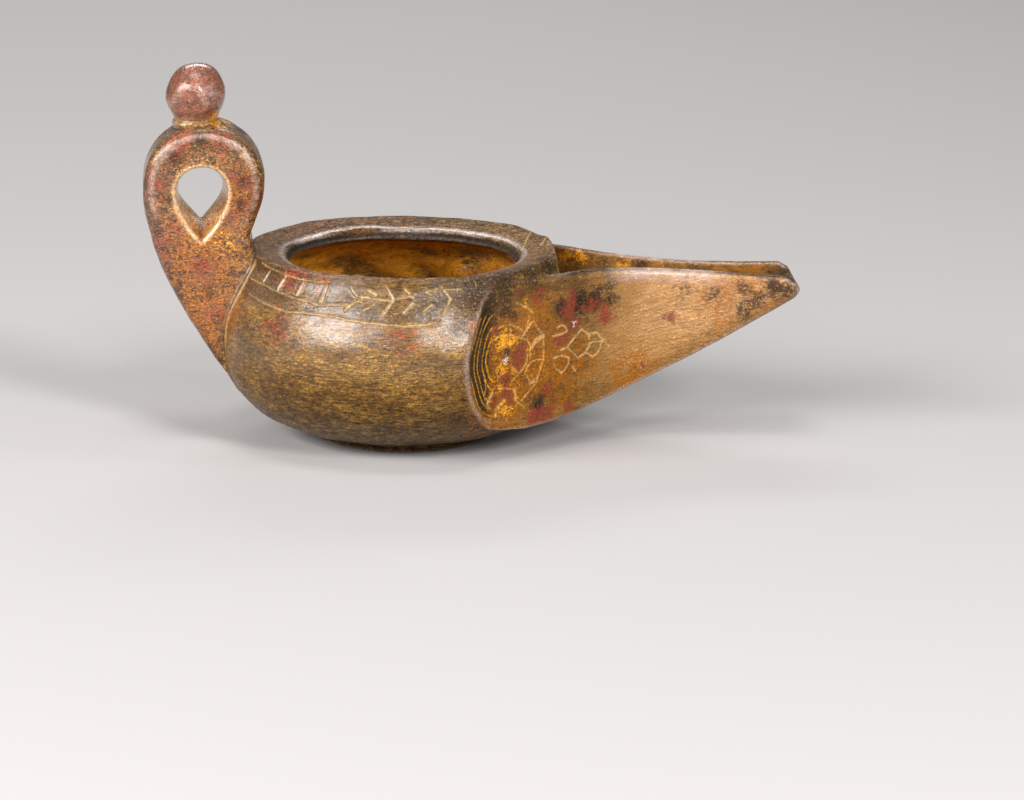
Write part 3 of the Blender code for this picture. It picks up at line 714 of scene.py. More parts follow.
@dataclass
class Patina:
    """Where the patina has its patches: each row is a place, a reach and, if not 1, a strength.

    The rows are for the near side. The far side has the same ones a little further on.
    """

    spout: Spout
    far_shift: Spot = (1.2, 0.0, -0.9)
    falloff: float = 0.7

    def on_panel(self) -> dict[Tint, list[Row]]:
        """Patches round the rings and the knot, by run along the panel and height."""
        return {
            Tint.OCHRE: [
                (5, 26, 9, 0.75), (4, 16, 9, 0.75), (15, 20, 10, 0.62), (12, 31, 7, 0.55),
                (22, 18, 9, 0.42), (20, 28, 8, 0.42)],
            Tint.AMBER: [
                (3.8, 27.5, 2), (6.8, 27.4, 1.5, 0.9), (11.8, 24.8, 1), (3.9, 21.1, 1.8),
                (7.4, 20.6, 1.2, 0.9), (3.5, 16.6, 1.2, 0.9), (-1.4, 13.2, 1.5, 0.9),
                (5.1, 11.5, 1.7, 0.8), (17, 11.2, 1.1, 1.1), (10.5, 36, 1.5, 0.7)],
            Tint.RED: [
                (14.6, 36.7, 1.6, 0.9), (24.5, 34.2, 2, 0.9), (24.1, 31, 1.7), (25.5, 28.2, 1.6),
                (23.2, 25.9, 1.5), (21, 25.3, 1.3, 0.9), (34.5, 29.4, 2.1, 1.1),
                (30, 31.6, 1.8, 0.8), (17.7, 14.8, 1.4), (19.5, 12, 1, 0.9), (13.6, 8.4, 2.1, 1.1),
                (17.5, 8.5, 2.1, 1.1), (11.4, 9.2, 1.2, 0.8), (24.2, 9.5, 1.4, 0.8),
                (9.3, 23.3, 1.9), (8.2, 21.6, 1.5, 0.9), (10.8, 25.4, 1, 0.9), (5, 18.7, 1.4),
                (5, 16, 1.4), (1.5, 14.3, 1.3), (6.5, 13.9, 1.2, 0.8), (2.3, 30.4, 0.9, 0.9),
                (8.6, 37.8, 1.2, 0.6)],
            Tint.DARK: [
                (21.7, 32.9, 2.2, 0.95), (28, 35, 2.5, 0.9), (29.5, 31.8, 2.2, 0.7),
                (26, 33.5, 2.2, 0.6), (36.3, 32.6, 2, 0.8), (32.5, 33.6, 2.2, 0.75),
                (15, 10.8, 2.1, 1.1), (16.2, 13, 1.1, 0.8), (-0.8, 34, 3, 0.85),
                (4.7, 34.6, 2.2, 0.75), (7.3, 33, 1.4, 0.7), (1, 37.5, 3.4, 0.7),
                (9, 38.6, 2.8, 0.6), (5, 24.9, 1, 0.6), (27, 33, 3.6), (31, 33, 3.2, 0.95),
                (24, 31, 2.4, 0.8)],
            Tint.PALE: [(5.1, 23, 0.7), (25.6, 28.7, 0.6, 0.8)],
        }

    def beside(self) -> dict[Tint, list[Row]]:
        """Patches further out on the side of the spout, by x and height."""
        return {
            Tint.RED: [
                (61.2, 27.8, 1, 1.1), (54.8, 16.6, 1.2, 0.6), (74.4, 28.1, 0.8, 0.7),
                (50, 17.5, 1, 0.4)],
            Tint.DARK: [
                (64, 34.4, 1.3, 0.6), (63.2, 31.4, 1, 0.6), (70, 33, 1.8, 0.55),
                (59.4, 27.9, 0.7, 0.7), (78.2, 29.6, 2.4, 0.75), (80.8, 32.4, 1.8, 0.75),
                (84.5, 35.4, 2.6, 0.9), (88.4, 34.8, 2.4, 0.95), (77.6, 34.6, 1.8, 0.5),
                (46, 36.5, 2.2, 0.6)],
            Tint.OCHRE: [(72, 31, 4.5, 0.35), (80, 34, 5, 0.35), (52, 15, 6, 0.35)],
        }

    def free(self) -> dict[Tint, list[Row]]:
        """Patches on the bowl, the rim, the handle and the knob, by x, y and z."""
        return {
            Tint.DARK: [
                (14, -33, 40.5, 4.6, 0.8), (21, -28.5, 41.5, 5, 0.85), (27, -22.5, 42.3, 5, 0.8),
                (31.5, -15, 42.6, 5, 0.8), (33.5, -7, 42.8, 4, 0.55), (6, -34.5, 41, 4.5, 0.6),
                (-14, -36, 38, 2.2, 0.6), (-4, -38.5, 38, 2.2, 0.6), (4, -38, 38.5, 2.4, 0.65),
                (10, -38.5, 33, 3, 0.6), (10, -36, 10, 4, 0.5), (-52, -8.5, 66, 2.2, 0.75),
                (-46.6, -8.5, 69.6, 2.4, 0.75), (-36.5, -8.5, 60, 1.8, 0.7),
                (-37, -8.5, 55, 1.6, 0.7), (-53, -8.5, 56, 1.6, 0.6), (-44, -8.5, 35, 1.8, 0.5),
                (-33, -22, 30, 3, 0.4), (46, -9, 38.6, 1.8, 0.85), (54, -5.8, 38.4, 1.8, 0.75),
                (66, -4.4, 38, 1.6, 0.6), (87, -7.4, 37.2, 2, 0.7)],
            Tint.RED: [
                (-25, -22.5, 42.4, 3.6, 0.9), (-18, -26.5, 42.3, 3.6, 0.9),
                (-10, -28.6, 42.3, 3, 0.7), (-30.2, -27.2, 31, 3.6, 0.6),
                (-27, -23.6, 40, 2.6, 0.6), (-1.9, -40.8, 30.4, 3.6, 0.5),
                (13.9, -36.6, 33, 1.8, 0.8), (-50.6, -8.5, 68.6, 3.6, 0.65),
                (-41.5, -8.5, 69.4, 3.4, 0.65), (-55.8, -7, 60, 4, 0.6),
                (-38.6, -8.5, 61.6, 2.6, 0.6), (-39.5, -8.5, 52, 2.4, 0.6),
                (-46, -8.5, 40, 4, 0.6), (-54, -6.5, 46, 4, 0.55), (-52, -8.5, 50, 2.4, 0.55),
                (-43, -8, 30, 2.6, 0.55), (-33.5, 6, 57, 6, 0.6), (-48, -3, 26, 4, 0.5)],
            Tint.OCHRE: [
                (-45, -8.5, 31, 8, 0.5), (-46, -8.5, 44, 8, 0.55), (-40, -8.5, 57, 6, 0.5)],
            Tint.AMBER: [
                (40, -10.6, 39, 1.7, 0.8), (50, -6.4, 38.4, 1.3, 0.7), (60, -4.8, 38, 1.6, 0.6),
                (35, -14.5, 41, 2.2, 0.8), (33.2, -17.4, 41.6, 1.8, 0.7),
                (36.6, -12.4, 38.6, 2.6, 0.75), (30, -20.6, 41.4, 1.6, 0.65),
                (-41.8, -3.6, 73, 1.9, 1.3), (-40.6, -8.6, 46, 2, 0.6), (-46, -7, 52, 2, 0.5)],
        }

    def patches(self) -> list[Patch]:
        """All patches of the near side as places in space."""
        tables = ((self.on_panel(), self.spout.on_panel, 2), (self.beside(), self.spout.beside, 2),
                  (self.free(), lambda *spot: spot, 3))
        return [Patch(tint, place(*row[:size]), *row[size:])
                for table, place, size in tables for tint, rows in table.items() for row in rows]

    def mask(self, tint: Tint, spots: Array) -> Array:
        """How strongly a kind of patina is felt at each place, from 0 up to about 1."""
        felt = np.zeros(len(spots))
        for patch in (patch for patch in self.patches() if patch.tint is tint):
            near = np.array(patch.middle)
            for middle in (near, near * MIRROR + np.array(self.far_shift)):
                gap = np.sum((spots - middle) ** 2, axis=1) / patch.reach ** 2
                felt = np.maximum(felt, patch.strength * np.exp(-self.falloff * gap))
        return felt


@dataclass
class Ripple:
    """The slow unevenness of an old casting: a sum of waves in many directions."""

    lengths: tuple[float, ...] = (34.0, 23.0, 15.0, 11.0, 8.0, 6.0, 4.6)
    heights: tuple[float, ...] = (0.08, 0.06, 0.05, 0.04, 0.03, 0.022, 0.016)
    seed: int = 5

    def height(self, place: Place) -> Array:
        """How far the surface stands proud at a place."""
        x, y, z = place
        rng = np.random.default_rng(self.seed)
        total = np.zeros(np.broadcast(x, y, z).shape)
        for length, height in zip(self.lengths, self.heights):
            for _ in range(2):
                way = rng.normal(size=3)
                way *= 2 * math.pi / (length * np.linalg.norm(way))
                phase = rng.uniform(0, 2 * math.pi)
                total += height * np.sin(way[0] * x + way[1] * y + way[2] * z + phase)
        return total


@dataclass
class Skin:
    """A triangle mesh with a unit normal at each corner."""

    spots: Array
    triangles: Array
    normals: Array | None = None

    def edges(self) -> tuple[Array, Array]:
        """Its edges as pairs of corners, and for each triangle the numbers of its three edges."""
        pairs = np.sort(self.triangles[:, [0, 1, 1, 2, 2, 0]].reshape(-1, 2), axis=1)
        keys = pairs[:, 0] * len(self.spots) + pairs[:, 1]
        _, first, back = np.unique(keys, return_index=True, return_inverse=True)
        return pairs[first], back.reshape(-1, 3)

    def neighbour_middle(self) -> Array:
        """For each corner, the middle of the corners that it shares an edge with."""
        a, b = self.edges()[0].T
        count = len(self.spots)
        total = [np.bincount(a, values[b], count) + np.bincount(b, values[a], count)
                 for values in self.spots.T]
        number = np.bincount(a, minlength=count) + np.bincount(b, minlength=count)
        return np.stack(total, axis=1) / np.maximum(number, 1)[:, None]

    def split(self, too_long: Array) -> "Skin":
        """Split edges in half.

        Args:
            too_long: for each edge, whether it is to be split.

        Returns:
            The finer mesh. Each triangle that is touched has its longest edge split as well,
            which keeps the triangles well shaped.
        """
        pairs, sides = self.edges()
        length = lengths(self.spots[pairs[:, 0]] - self.spots[pairs[:, 1]])
        marked = too_long.copy()
        longest = sides[np.arange(len(sides)), np.argmax(length[sides], axis=1)]
        while True:
            needed = longest[marked[sides].any(axis=1) & ~marked[longest]]
            if not len(needed):
                break
            marked[needed] = True
        number = np.full(len(pairs), -1)
        number[marked] = len(self.spots) + np.arange(marked.sum())
        middles = 0.5 * (self.spots[pairs[marked, 0]] + self.spots[pairs[marked, 1]])
        middle = number[sides]
        split = middle >= 0
        made = [self.triangles[~split.any(axis=1)]]
        for turn in range(3):
            order = [turn, (turn + 1) % 3, (turn + 2) % 3]
            a, b, c = (self.triangles[:, k] for k in order)
            ab, bc, ca = (middle[:, k] for k in order)
            has_ab, has_bc, has_ca = (split[:, k] for k in order)
            one = has_ab & ~has_bc & ~has_ca
            made += [np.stack([a, ab, c], 1)[one], np.stack([ab, b, c], 1)[one]]
            two = has_ab & has_bc & ~has_ca
            first = two & (longest == sides[:, order[0]])
            second = two & ~(longest == sides[:, order[0]])
            made += [np.stack([ab, b, bc], 1)[two]]
            made += [np.stack([a, ab, c], 1)[first], np.stack([ab, bc, c], 1)[first]]
            made += [np.stack([a, ab, bc], 1)[second], np.stack([a, bc, c], 1)[second]]
        every = split.all(axis=1)
        a, b, c = self.triangles[every].T
        ab, bc, ca = middle[every].T
        quarters = ((a, ab, ca), (ab, b, bc), (ca, bc, c), (ab, bc, ca))
        made += [np.stack(corners, 1) for corners in quarters]
        return Skin(np.concatenate([self.spots, middles]), np.concatenate(made))


def net_over(values: Array, low: Array, cell: float) -> Skin:
    """Cover the zero surface of a block of distances with one vertex per crossed cell.

    Args:
        values: distances at the corners of the cells.
        low: place of the first corner.
        cell: size of a cell.

    Returns:
        The mesh, with its triangles facing outwards.
    """
    below = values < 0.0
    corners = [(i, j, k) for i in (0, 1) for j in (0, 1) for k in (0, 1)]
    shape = tuple(n - 1 for n in values.shape)
    weight = np.zeros(shape)
    total = np.zeros(shape + (3,))
    sides = [(p, q) for p in corners for q in corners
             if p < q and sum(abs(a - b) for a, b in zip(p, q)) == 1]
    for p, q in sides:
        cut_p = tuple(slice(o, o + n) for o, n in zip(p, shape))
        cut_q = tuple(slice(o, o + n) for o, n in zip(q, shape))
        crossed = below[cut_p] != below[cut_q]
        a, b = values[cut_p][crossed], values[cut_q][crossed]
        t = a / (a - b)
        weight[crossed] += 1.0
        total[crossed] += np.array(p) + t[:, None] * (np.array(q) - np.array(p))
    held = weight > 0
    number = np.full(shape, -1)
    number[held] = np.arange(held.sum())
    spots = low + cell * (np.argwhere(held) + total[held] / weight[held][:, None])
    quads = []
    step = np.eye(3, dtype=int)
    for axis in range(3):
        u, v = (axis + 1) % 3, (axis + 2) % 3
        inner = [slice(1, n - 1) for n in values.shape]
        inner[axis] = slice(0, values.shape[axis] - 1)
        start = below[tuple(inner)]
        ahead = [slice(s.start + d, s.stop + d) for s, d in zip(inner, step[axis])]
        crossed = start != below[tuple(ahead)]
        base = np.argwhere(crossed) + np.array([s.start for s in inner])
        ring = [base, base - step[u], base - step[u] - step[v], base - step[v]]
        ids = np.stack([number[tuple(cells.T)] for cells in ring], axis=1)
        outwards = start[crossed]
        ids[~outwards] = ids[~outwards][:, ::-1]
        quads.append(ids)
    quads = np.concatenate(quads)
    a, b, c, d = (spots[corner] for corner in quads.T)
    short = lengths(a - c) <= lengths(b - d)
    triangles = [quads[short][:, [0, 1, 2]], quads[short][:, [0, 2, 3]],
                 quads[~short][:, [0, 1, 3]], quads[~short][:, [1, 2, 3]]]
    return Skin(spots, np.concatenate(triangles))


@dataclass
class Casting:
    """The whole lamp as one body of metal, and the fine mesh that covers it.

    The mesh starts from cells of one size. Its edges are then split where they are longer than
    `fine` beside an engraved line, or than `sharp` where the skin bends by more than `bend`.
    """

    bowl: Bowl = field(default_factory=Bowl)
    spout: Spout = field(default_factory=Spout)
    handle: Handle = field(default_factory=Handle)
    knob: Knob = field(default_factory=Knob)
    ripple: Ripple = field(default_factory=Ripple)
    crust: Ripple = field(default_factory=lambda: Ripple((13.0, 8.0, 5.5), (0.22, 0.2, 0.12), 9))
    low: Spot = (-63.0, -46.0, -3.0)
    high: Spot = (94.0, 46.0, 89.0)
    cell: float = 1.2
    fine: float = 0.27
    sharp: float = 0.45
    bend: float = 0.30
    slack: float = 1.35
    levels: int = 4
    cut_reach: float = 1.6
    groove_depths: tuple[float, ...] = (1.2, 2.3, 3.2, 4.5, 5.3)
    groove_width: float = 0.22
    groove_cut: float = 0.2
    probe: float = 0.9
    spout_fillet: float = 1.5
    bridge_fillet: float = 0.5
    handle_fillet: float = 0.9
    handle_crease: float = 0.7
    channel_rounding: float = 0.8
    side_rounding: float = 0.55
    top_rounding: float = 0.9
    mouth_rounding: float = 0.55
    foot_rounding: float = 0.15

    def hollow(self, place: Place) -> Array:
        """Distance from the hollow of the bowl and the spout, negative inside it."""
        open_space = np.minimum(self.bowl.hollow(place), self.spout.trough(place))
        side = self.spout.plan(place) + self.spout.wall
        return shared(open_space, side, self.channel_rounding)

    def body(self, place: Place) -> Array:
        """Distance from the bowl and spout without their hollow."""
        body = joined(self.bowl.outside(place), self.spout.block(place), self.spout_fillet)
        body = joined(body, self.bowl.bridge(place), self.bridge_fillet)
        rounding = (self.side_rounding
                    + self.top_rounding * eased(place[0], 24, 42) * eased(place[2], 20, 34))
        return shared(body, self.spout.plan(place), rounding)

    def plain(self, place: Place) -> Array:
        """Distance from the casting before anything is cut into its skin."""
        x, _, z = place
        body, plate = self.body(place), self.handle.plate(place)
        near = (body / self.handle_crease) ** 2 + (plate / self.handle_crease) ** 2
        solid = joined(body, plate, self.handle_fillet) + 0.15 * np.exp(-near)
        solid = joined(solid, self.knob.ball(place), self.handle_fillet)
        ripple = self.ripple.height(place) * (1.0 - 0.6 * eased(x, 28, 46))
        crust = self.crust.height(place) * faded(x, 16, 26) * faded(z, 34, 38)
        solid = shared(solid - ripple, ripple + crust - self.hollow(place), self.mouth_rounding)
        return shared(solid, -z, self.foot_rounding)

    def cove_grooves(self, place: Place) -> Array:
        """Depth of the fine grooves that follow the round edge of the belly in each cove."""
        x, y, z = place
        inside = -self.bowl.outside(place)
        total = np.zeros(np.broadcast(x, y, z).shape)
        for depth in self.groove_depths:
            total += bell(inside - depth, self.groove_width)
        reach = between(x, 12.2, 13.4, 17.5, 20) * eased(np.abs(y), 26, 29)
        return total * (reach * faded(z, 33.5, 36.5) * eased(z, 7.5, 9.5))

    def cove_lip(self, place: Place, reach: float) -> Array:
        """Where the rounded edge between the belly and each cove is, from 0 to 1."""
        x, _, z = place
        belly, panel = self.bowl.outside(place), self.spout.plan(place)
        edge = bell(belly + 0.2, reach) * bell(panel + 0.2, reach)
        return edge * faded(x, 20, 24) * between(z, 5, 10, 34, 38)

    def surface(self, spots: Array, strokes: list[Stroke]) -> Array:
        """Distance of places (one per row) from the skin with all that is cut into it."""
        place = columns(spots)
        value = self.plain(place) + self.groove_cut * self.cove_grooves(place)
        for stroke in strokes:
            gap = stroke.distance(spots)
            near = gap < self.cut_reach
            value[near] += stroke.profile(gap[near])
        return value

    def slope(self, spots: Array, strokes: list[Stroke], step: float = 0.03) -> Array:
        """Direction in which the distance grows, one row for each place."""
        total = np.zeros_like(spots)
        for corner in ((1, 1, 1), (1, -1, -1), (-1, 1, -1), (-1, -1, 1)):
            way = np.array(corner, dtype=float)
            total += way * self.surface(spots + step * way, strokes)[:, None]
        return total / (4.0 * step)

    def settle(self, skin: Skin, strokes: list[Stroke], rounds: int, ease: float) -> None:
        """Move the corners of a mesh onto the surface and even out their spacing.

        Args:
            skin: the mesh, which is changed.
            strokes: the engraved lines to follow.
            rounds: how often to do it.
            ease: how far a corner slides towards its neighbours' middle, from 0 to 1.
        """
        for _ in range(rounds):
            slope = self.slope(skin.spots, strokes)
            size = np.maximum(lengths(slope), 0.3)
            skin.normals = slope / size[:, None]
            if ease > 0.0:
                drift = skin.neighbour_middle() - skin.spots
                drift -= np.sum(drift * skin.normals, axis=1)[:, None] * skin.normals
                skin.spots = skin.spots + ease * drift
            value = np.clip(self.surface(skin.spots, strokes) / size, -0.5, 0.5)
            skin.spots = skin.spots - value[:, None] * skin.normals

    def lay_on(self, strokes: list[Stroke]) -> None:
        """Lay each stroke exactly on the uncut skin."""
        for stroke in strokes:
            line = Skin(stroke.points.copy(), np.zeros((0, 3), dtype=int))
            self.settle(line, [], 4, 0.0)
            stroke.points = line.spots

    def wanted_length(self, spots: Array, strokes: list[Stroke]) -> Array:
        """How long an edge may be at each place, given what is cut there."""
        wanted = np.full(len(spots), 2.0 * self.cell)
        for stroke in strokes:
            beyond = np.maximum(stroke.distance(spots) - 2.6 * stroke.width, 0.0)
            wanted = np.minimum(wanted, self.fine + 0.8 * beyond)
        grooved = self.cove_grooves(columns(spots)) > 0.05
        return np.where(grooved, np.minimum(wanted, 1.2 * self.fine), wanted)

    def cover(self, strokes: list[Stroke]) -> Skin:
        """Cover the casting with a mesh that is fine where it is engraved or sharply bent."""
        x, y, z = (np.arange(a, b, self.cell) for a, b in zip(self.low, self.high))
        block = self.plain((x[:, None, None], y[None, :, None], z[None, None, :]))
        skin = net_over(block, np.array(self.low), self.cell)
        self.settle(skin, [], 3, 0.5)
        for level in range(self.levels):
            a, b = skin.edges()[0].T
            length = lengths(skin.spots[a] - skin.spots[b])
            middle = 0.5 * (skin.spots[a] + skin.spots[b])
            bent = lengths(skin.normals[a] - skin.normals[b]) > self.bend
            too_long = length > self.slack * self.wanted_length(middle, strokes)
            skin = skin.split(too_long | bent & (length > self.slack * self.sharp))
            self.settle(skin, strokes if level > 1 else [], 1, 0.25)
        self.settle(skin, strokes, 2, 0.15)
        skin.normals = self.slope(skin.spots, strokes, 0.05)
        skin.normals /= lengths(skin.normals)[:, None]
        return skin

    def bulge(self, spots: Array) -> Array:
        """How sharply the uncut skin is bent at each place: above 0 on edges, below 0 in nooks."""
        total = np.zeros(len(spots))
        for axis in range(3):
            for way in (-self.probe, self.probe):
                moved = spots.copy()
                moved[:, axis] += way
                total += self.plain(columns(moved))
        return (total - 6.0 * self.plain(columns(spots))) / self.probe ** 2

    def cut_mark(self, spots: Array, strokes: list[Stroke]) -> Array:
        """Where the engraved lines are, from 0 to 1."""
        cut = np.zeros(len(spots))
        for stroke in strokes:
            gap = stroke.distance(spots)
            near = gap < self.cut_reach
            light = stroke.tone * bell(gap[near], 1.15 * stroke.width)
            cut[near] = np.maximum(cut[near], light)
        return cut

    def handle_marks(self, place: Place) -> dict[str, Array]:
        """The marks of the handle and the knob."""
        x, y, z = place
        plate = self.handle.plate(place)
        side = self.handle.shapes["plate"].distance(x, z)
        # A painted highlight along the rounded edge of the ring's faces.
        arris_highlight = between(side, -2.8, -2.3, -1.7, -1.2) * eased(np.abs(y), 6.8, 7.8)
        seam = bell(plate - 1.6, 0.6) * eased(-self.body(place), -1.6, -0.9)
        return {
            "handle": eased(-plate, -1.2, -0.3) * eased(self.body(place), -0.3, 0.5),
            "knob": eased(z, 72.4, 73.6),
            "ring": eased(z, 48, 60),
            # The finger hole's wall: rubbed metal, and painted light on a wall that the lamps
            # barely reach.
            "hole": faded(np.abs(self.handle.hole(place)), 0.5, 1.2) * eased(z, 44, 45),
            "arris_highlight": arris_highlight * between(z, 50, 56, 71.5, 72.5),
            # The collar is painted light tan: a painted highlight.
            "collar": bell(z - 72.9, 0.8) * faded(np.hypot(x + 47.0, y), 5.6, 6.6),
            "spine": eased(side, -5, -1.5) * eased(-x, 40, 44) * faded(z, 56, 67),
            "seam": seam * eased(z, 18, 26) * eased(-z, -42.6, -41),
        }

    def marks(self, skin: Skin, strokes: list[Stroke]) -> dict[str, Array]:
        """Values at each corner of the mesh that the bronze's finish reads by name.

        Args:
            skin: the finished mesh.
            strokes: the engraved lines.

        Returns:
            The values of each mark, mostly from 0 to 1. The limits between which a mark comes
            and goes are places on the lamp or distances from a surface.
        """
        place = columns(skin.spots)
        x, y, z = place
        level = skin.normals[:, 2]
        radius = np.hypot(x, y)
        free = eased(x, -36, -33)
        sides = eased(self.spout.plan(place), -0.9, -0.3)
        side = sides * between(x, 11, 13, 44, 66)
        inner = faded(self.hollow(place), 0.1, 0.5)
        mouth = faded(radius, 28.5, 30.5)
        rim = eased(level, 0.55, 0.85) * eased(z, 39.5, 41) * faded(x, 33, 36) * faded(-x, 33, 36)
        # A ring on the rim near the mouth: more gloss, and a painted highlight in lilac.
        band = rim * between(radius, 25.9, 26.6, 27.8, 29)
        # Flat top of the spout's walls: painted dark as painted shade.
        ledge_shade = eased(level, 0.6, 0.9) * eased(x, 34, 38) * eased(z, 33, 35.5)
        smooth = (1.0 - 0.85 * self.cove_lip(place, 1.6)) * (1.0 - 0.9 * ledge_shade)
        smooth = smooth * (1.0 - 0.8 * eased(z, 38.4, 40.2) * free)
        shine = (0.12 + 0.88 * eased(z, 17, 28)) * (1.0 - 0.8 * side) * (1.0 - 0.85 * inner)
        shine = shine * (1.0 - 0.75 * eased(z, 40, 41.5) * free)
        # Upper edge of the spout's sides, where a painted highlight is laid.
        crest = eased(z + 0.05 * (x - 39.0), 36.2, 39) * eased(x, 44, 50) * eased(-x, -76, -66)
        # The recess of each cove, painted dark green as painted shade.
        cove = eased(-self.bowl.outside(place), 0.5, 1.2) * sides
        skin_of_body = eased(-self.body(place), -1, -0.4)
        bulge = self.bulge(skin.spots)
        patina = Patina(self.spout)
        return self.handle_marks(place) | {
            "cut": self.cut_mark(skin.spots, strokes),
            # Outward bends: rubbed edges, painted lighter partly as a painted highlight along
            # them.
            "worn_and_glint": np.clip(bulge - 0.5, 0.0, 2.0) * smooth,
            # Inward bends: creases painted dark green as painted shade.
            "crease_shade": np.clip(-bulge - 0.3, 0.0, 2.0) * (1.0 - 0.85 * inner * faded(x, 24, 34)),
            "inner": inner * (1.0 - mouth * eased(z, 38.4, 39.6)),
            # Just below the mouth's edge inside: painted shadow under the rim.
            "lip_shadow": inner * mouth * between(z, 37.4, 38.8, 40.6, 41.5),
            "trough": eased(x, 33, 36) * inner,
            # A painted highlight along the rounded edge between the belly and each cove.
            "lip_highlight": self.cove_lip(place, 0.3),
            "cove": cove * between(x, 11, 12, 16.6, 18.6),
            "groove": self.cove_grooves(place),
            "rim": rim,
            "band": band,
            "shine": shine * (1.0 - 0.92 * rim) + 0.8 * band,
            "shoulder": eased(z, 33.5, 35.5) * faded(x, 16, 26) * skin_of_body,
            # Low on the belly: painted shade, darker towards the bottom.
            "foot": faded(z, 8, 20) * (1.0 - side) * (1.0 - inner),
            "spout": eased(x, 36, 58),
            "side": side,
            # The lower part of the spout's sides: painted shade, darker towards the bottom.
            "low": eased(self.spout.block(place), -6, -0.8) * eased(x, 24, 34) * faded(z, 33, 35),
            "ledge_shade": ledge_shade,
            "crest": crest * (1.0 - inner),
        } | {tint.value: patina.mask(tint, skin.spots) for tint in Tint}

    def build(self) -> bpy.types.Object:
        """Make the piece: its mesh, its normals and the marks that its finish reads."""
        strokes = Engraving(self.bowl, self.spout).strokes()
        self.lay_on(strokes)
        skin = self.cover(strokes)
        mesh = bpy.data.meshes.new("bronze_lamp")
        mesh.from_pydata((skin.spots * MM).tolist(), [], skin.triangles.tolist())
        mesh.shade_smooth()
        mesh.normals_split_custom_set_from_vertices(skin.normals.tolist())
        for name, values in self.marks(skin, strokes).items():
            layer = mesh.attributes.new(name, "FLOAT", "POINT")
            layer.data.foreach_set("value", values.astype(np.float32))
        LOG.info("bronze_lamp: %d corners, %d triangles", len(skin.spots), len(skin.triangles))
        return placed("bronze_lamp", mesh)


@dataclass
class Nodes:
    """Short calls for putting a material's nodes together."""

    tree: bpy.types.NodeTree
    count: int = 0

    def add(self, kind: str, **settings: object) -> bpy.types.Node:
        """Add a node of a kind and set its properties."""
        node = self.tree.nodes.new(kind)
        node.location = (220 * (self.count % 12) - 2600, 300 - 260 * (self.count // 12))
        self.count += 1
        for name, value in settings.items():
            setattr(node, name, value)
        return node

    def feed(self, socket: Socket, value: object) -> None:
        """Give a socket a link or a plain value."""
        if isinstance(value, Socket):
            self.tree.links.new(value, socket)
        else:
            socket.default_value = value

    def math(self, operation: str, *values: object, clamp: bool = False) -> Socket:
        """Values put together two by two, such as a sum or a product."""
        total = values[0]
        for value in values[1:]:
            node = self.add("ShaderNodeMath", operation=operation, use_clamp=clamp)
            self.feed(node.inputs[0], total)
            self.feed(node.inputs[1], value)
            total = node.outputs[0]
        return total

    def plus(self, *values: object) -> Socket:
        """The sum of values."""
        return self.math("ADD", *values)

    def less(self, a: object, b: object) -> Socket:
        """A value less another, held between 0 and 1."""
        return self.math("SUBTRACT", a, b, clamp=True)

    def times(self, *values: object) -> Socket:
        """The product of values."""
        return self.math("MULTIPLY", *values)

    def most(self, *values: object) -> Socket:
        """The greatest of values."""
        return self.math("MAXIMUM", *values)

    def ramp(self, value: object, low: float, high: float, *out: float) -> Socket:
        """Map a value from one range to another (0 to 1 if none is given), with soft ends."""
        node = self.add("ShaderNodeMapRange", interpolation_type="SMOOTHSTEP")
        for socket, number in zip(node.inputs, (value, low, high, *(out or (0.0, 1.0)))):
            self.feed(socket, number)
        return node.outputs[0]

    def blend(self, share: object, a: object, b: object, how: str = "MIX") -> Socket:
        """Blend colour b over colour a by a share."""
        node = self.add("ShaderNodeMix", data_type="RGBA", blend_type=how)
        for socket, value in zip((node.inputs["Factor"], *node.inputs[6:8]), (share, a, b)):
            self.feed(socket, value)
        return node.outputs[2]

    def laid(self, base: object, *coats: tuple[object, object], how: str = "MIX") -> Socket:
        """Lay coats over a base in order, each given by its share and its colour."""
        for share, colour in coats:
            base = self.blend(share, base, colour, how)
        return base

    def mark(self, name: str) -> Socket:
        """A value that the mesh carries at its corners."""
        node = self.add("ShaderNodeAttribute", attribute_type="GEOMETRY", attribute_name=name)
        return node.outputs["Fac"]

    def felt(self, name: str, noise: Socket, low: float, high: float, *out: float) -> Socket:
        """A mark broken up by a ramp of a noise, held between 0 and 1."""
        share = self.ramp(noise, low, high, *out)
        return self.math("MULTIPLY", self.mark(name), share, clamp=True)

    def noise(self, stretch: Spot, detail: float, rough: float, shift: float = 0.0,
              tilt: float = 0.0) -> Socket:
        """Cloudy noise in the lamp's own space.

        Args:
            stretch: number of its spots per millimetre along x, y and z.
            detail: how many finer layers it has.
            rough: how strong the finer layers are.
            shift: where in the noise the lamp lies.
            tilt: degrees that its grain rises towards the tip of the spout.

        Returns:
            The noise, about 0.5 on average.
        """
        turned, mapping = self.add("ShaderNodeMapping"), self.add("ShaderNodeMapping")
        self.feed(turned.inputs["Vector"], self.add("ShaderNodeTexCoord").outputs["Object"])
        self.feed(turned.inputs["Rotation"], (0.0, math.radians(tilt), 0.0))
        self.feed(mapping.inputs["Vector"], turned.outputs["Vector"])
        self.feed(mapping.inputs["Scale"], tuple(s / MM for s in stretch))
        self.feed(mapping.inputs["Location"], (shift, 0.7 * shift, 1.3 * shift))
        node = self.add("ShaderNodeTexNoise")
        self.feed(node.inputs["Vector"], mapping.outputs["Vector"])
        for name, value in (("Scale", 1.0), ("Detail", detail), ("Roughness", rough)):
            self.feed(node.inputs[name], value)
        return node.outputs["Fac"]


@dataclass(frozen=True)
class Grains:
    """The three noises that most stains share, from broad to fine."""

    mottle: Socket
    grain: Socket
    flecks: Socket


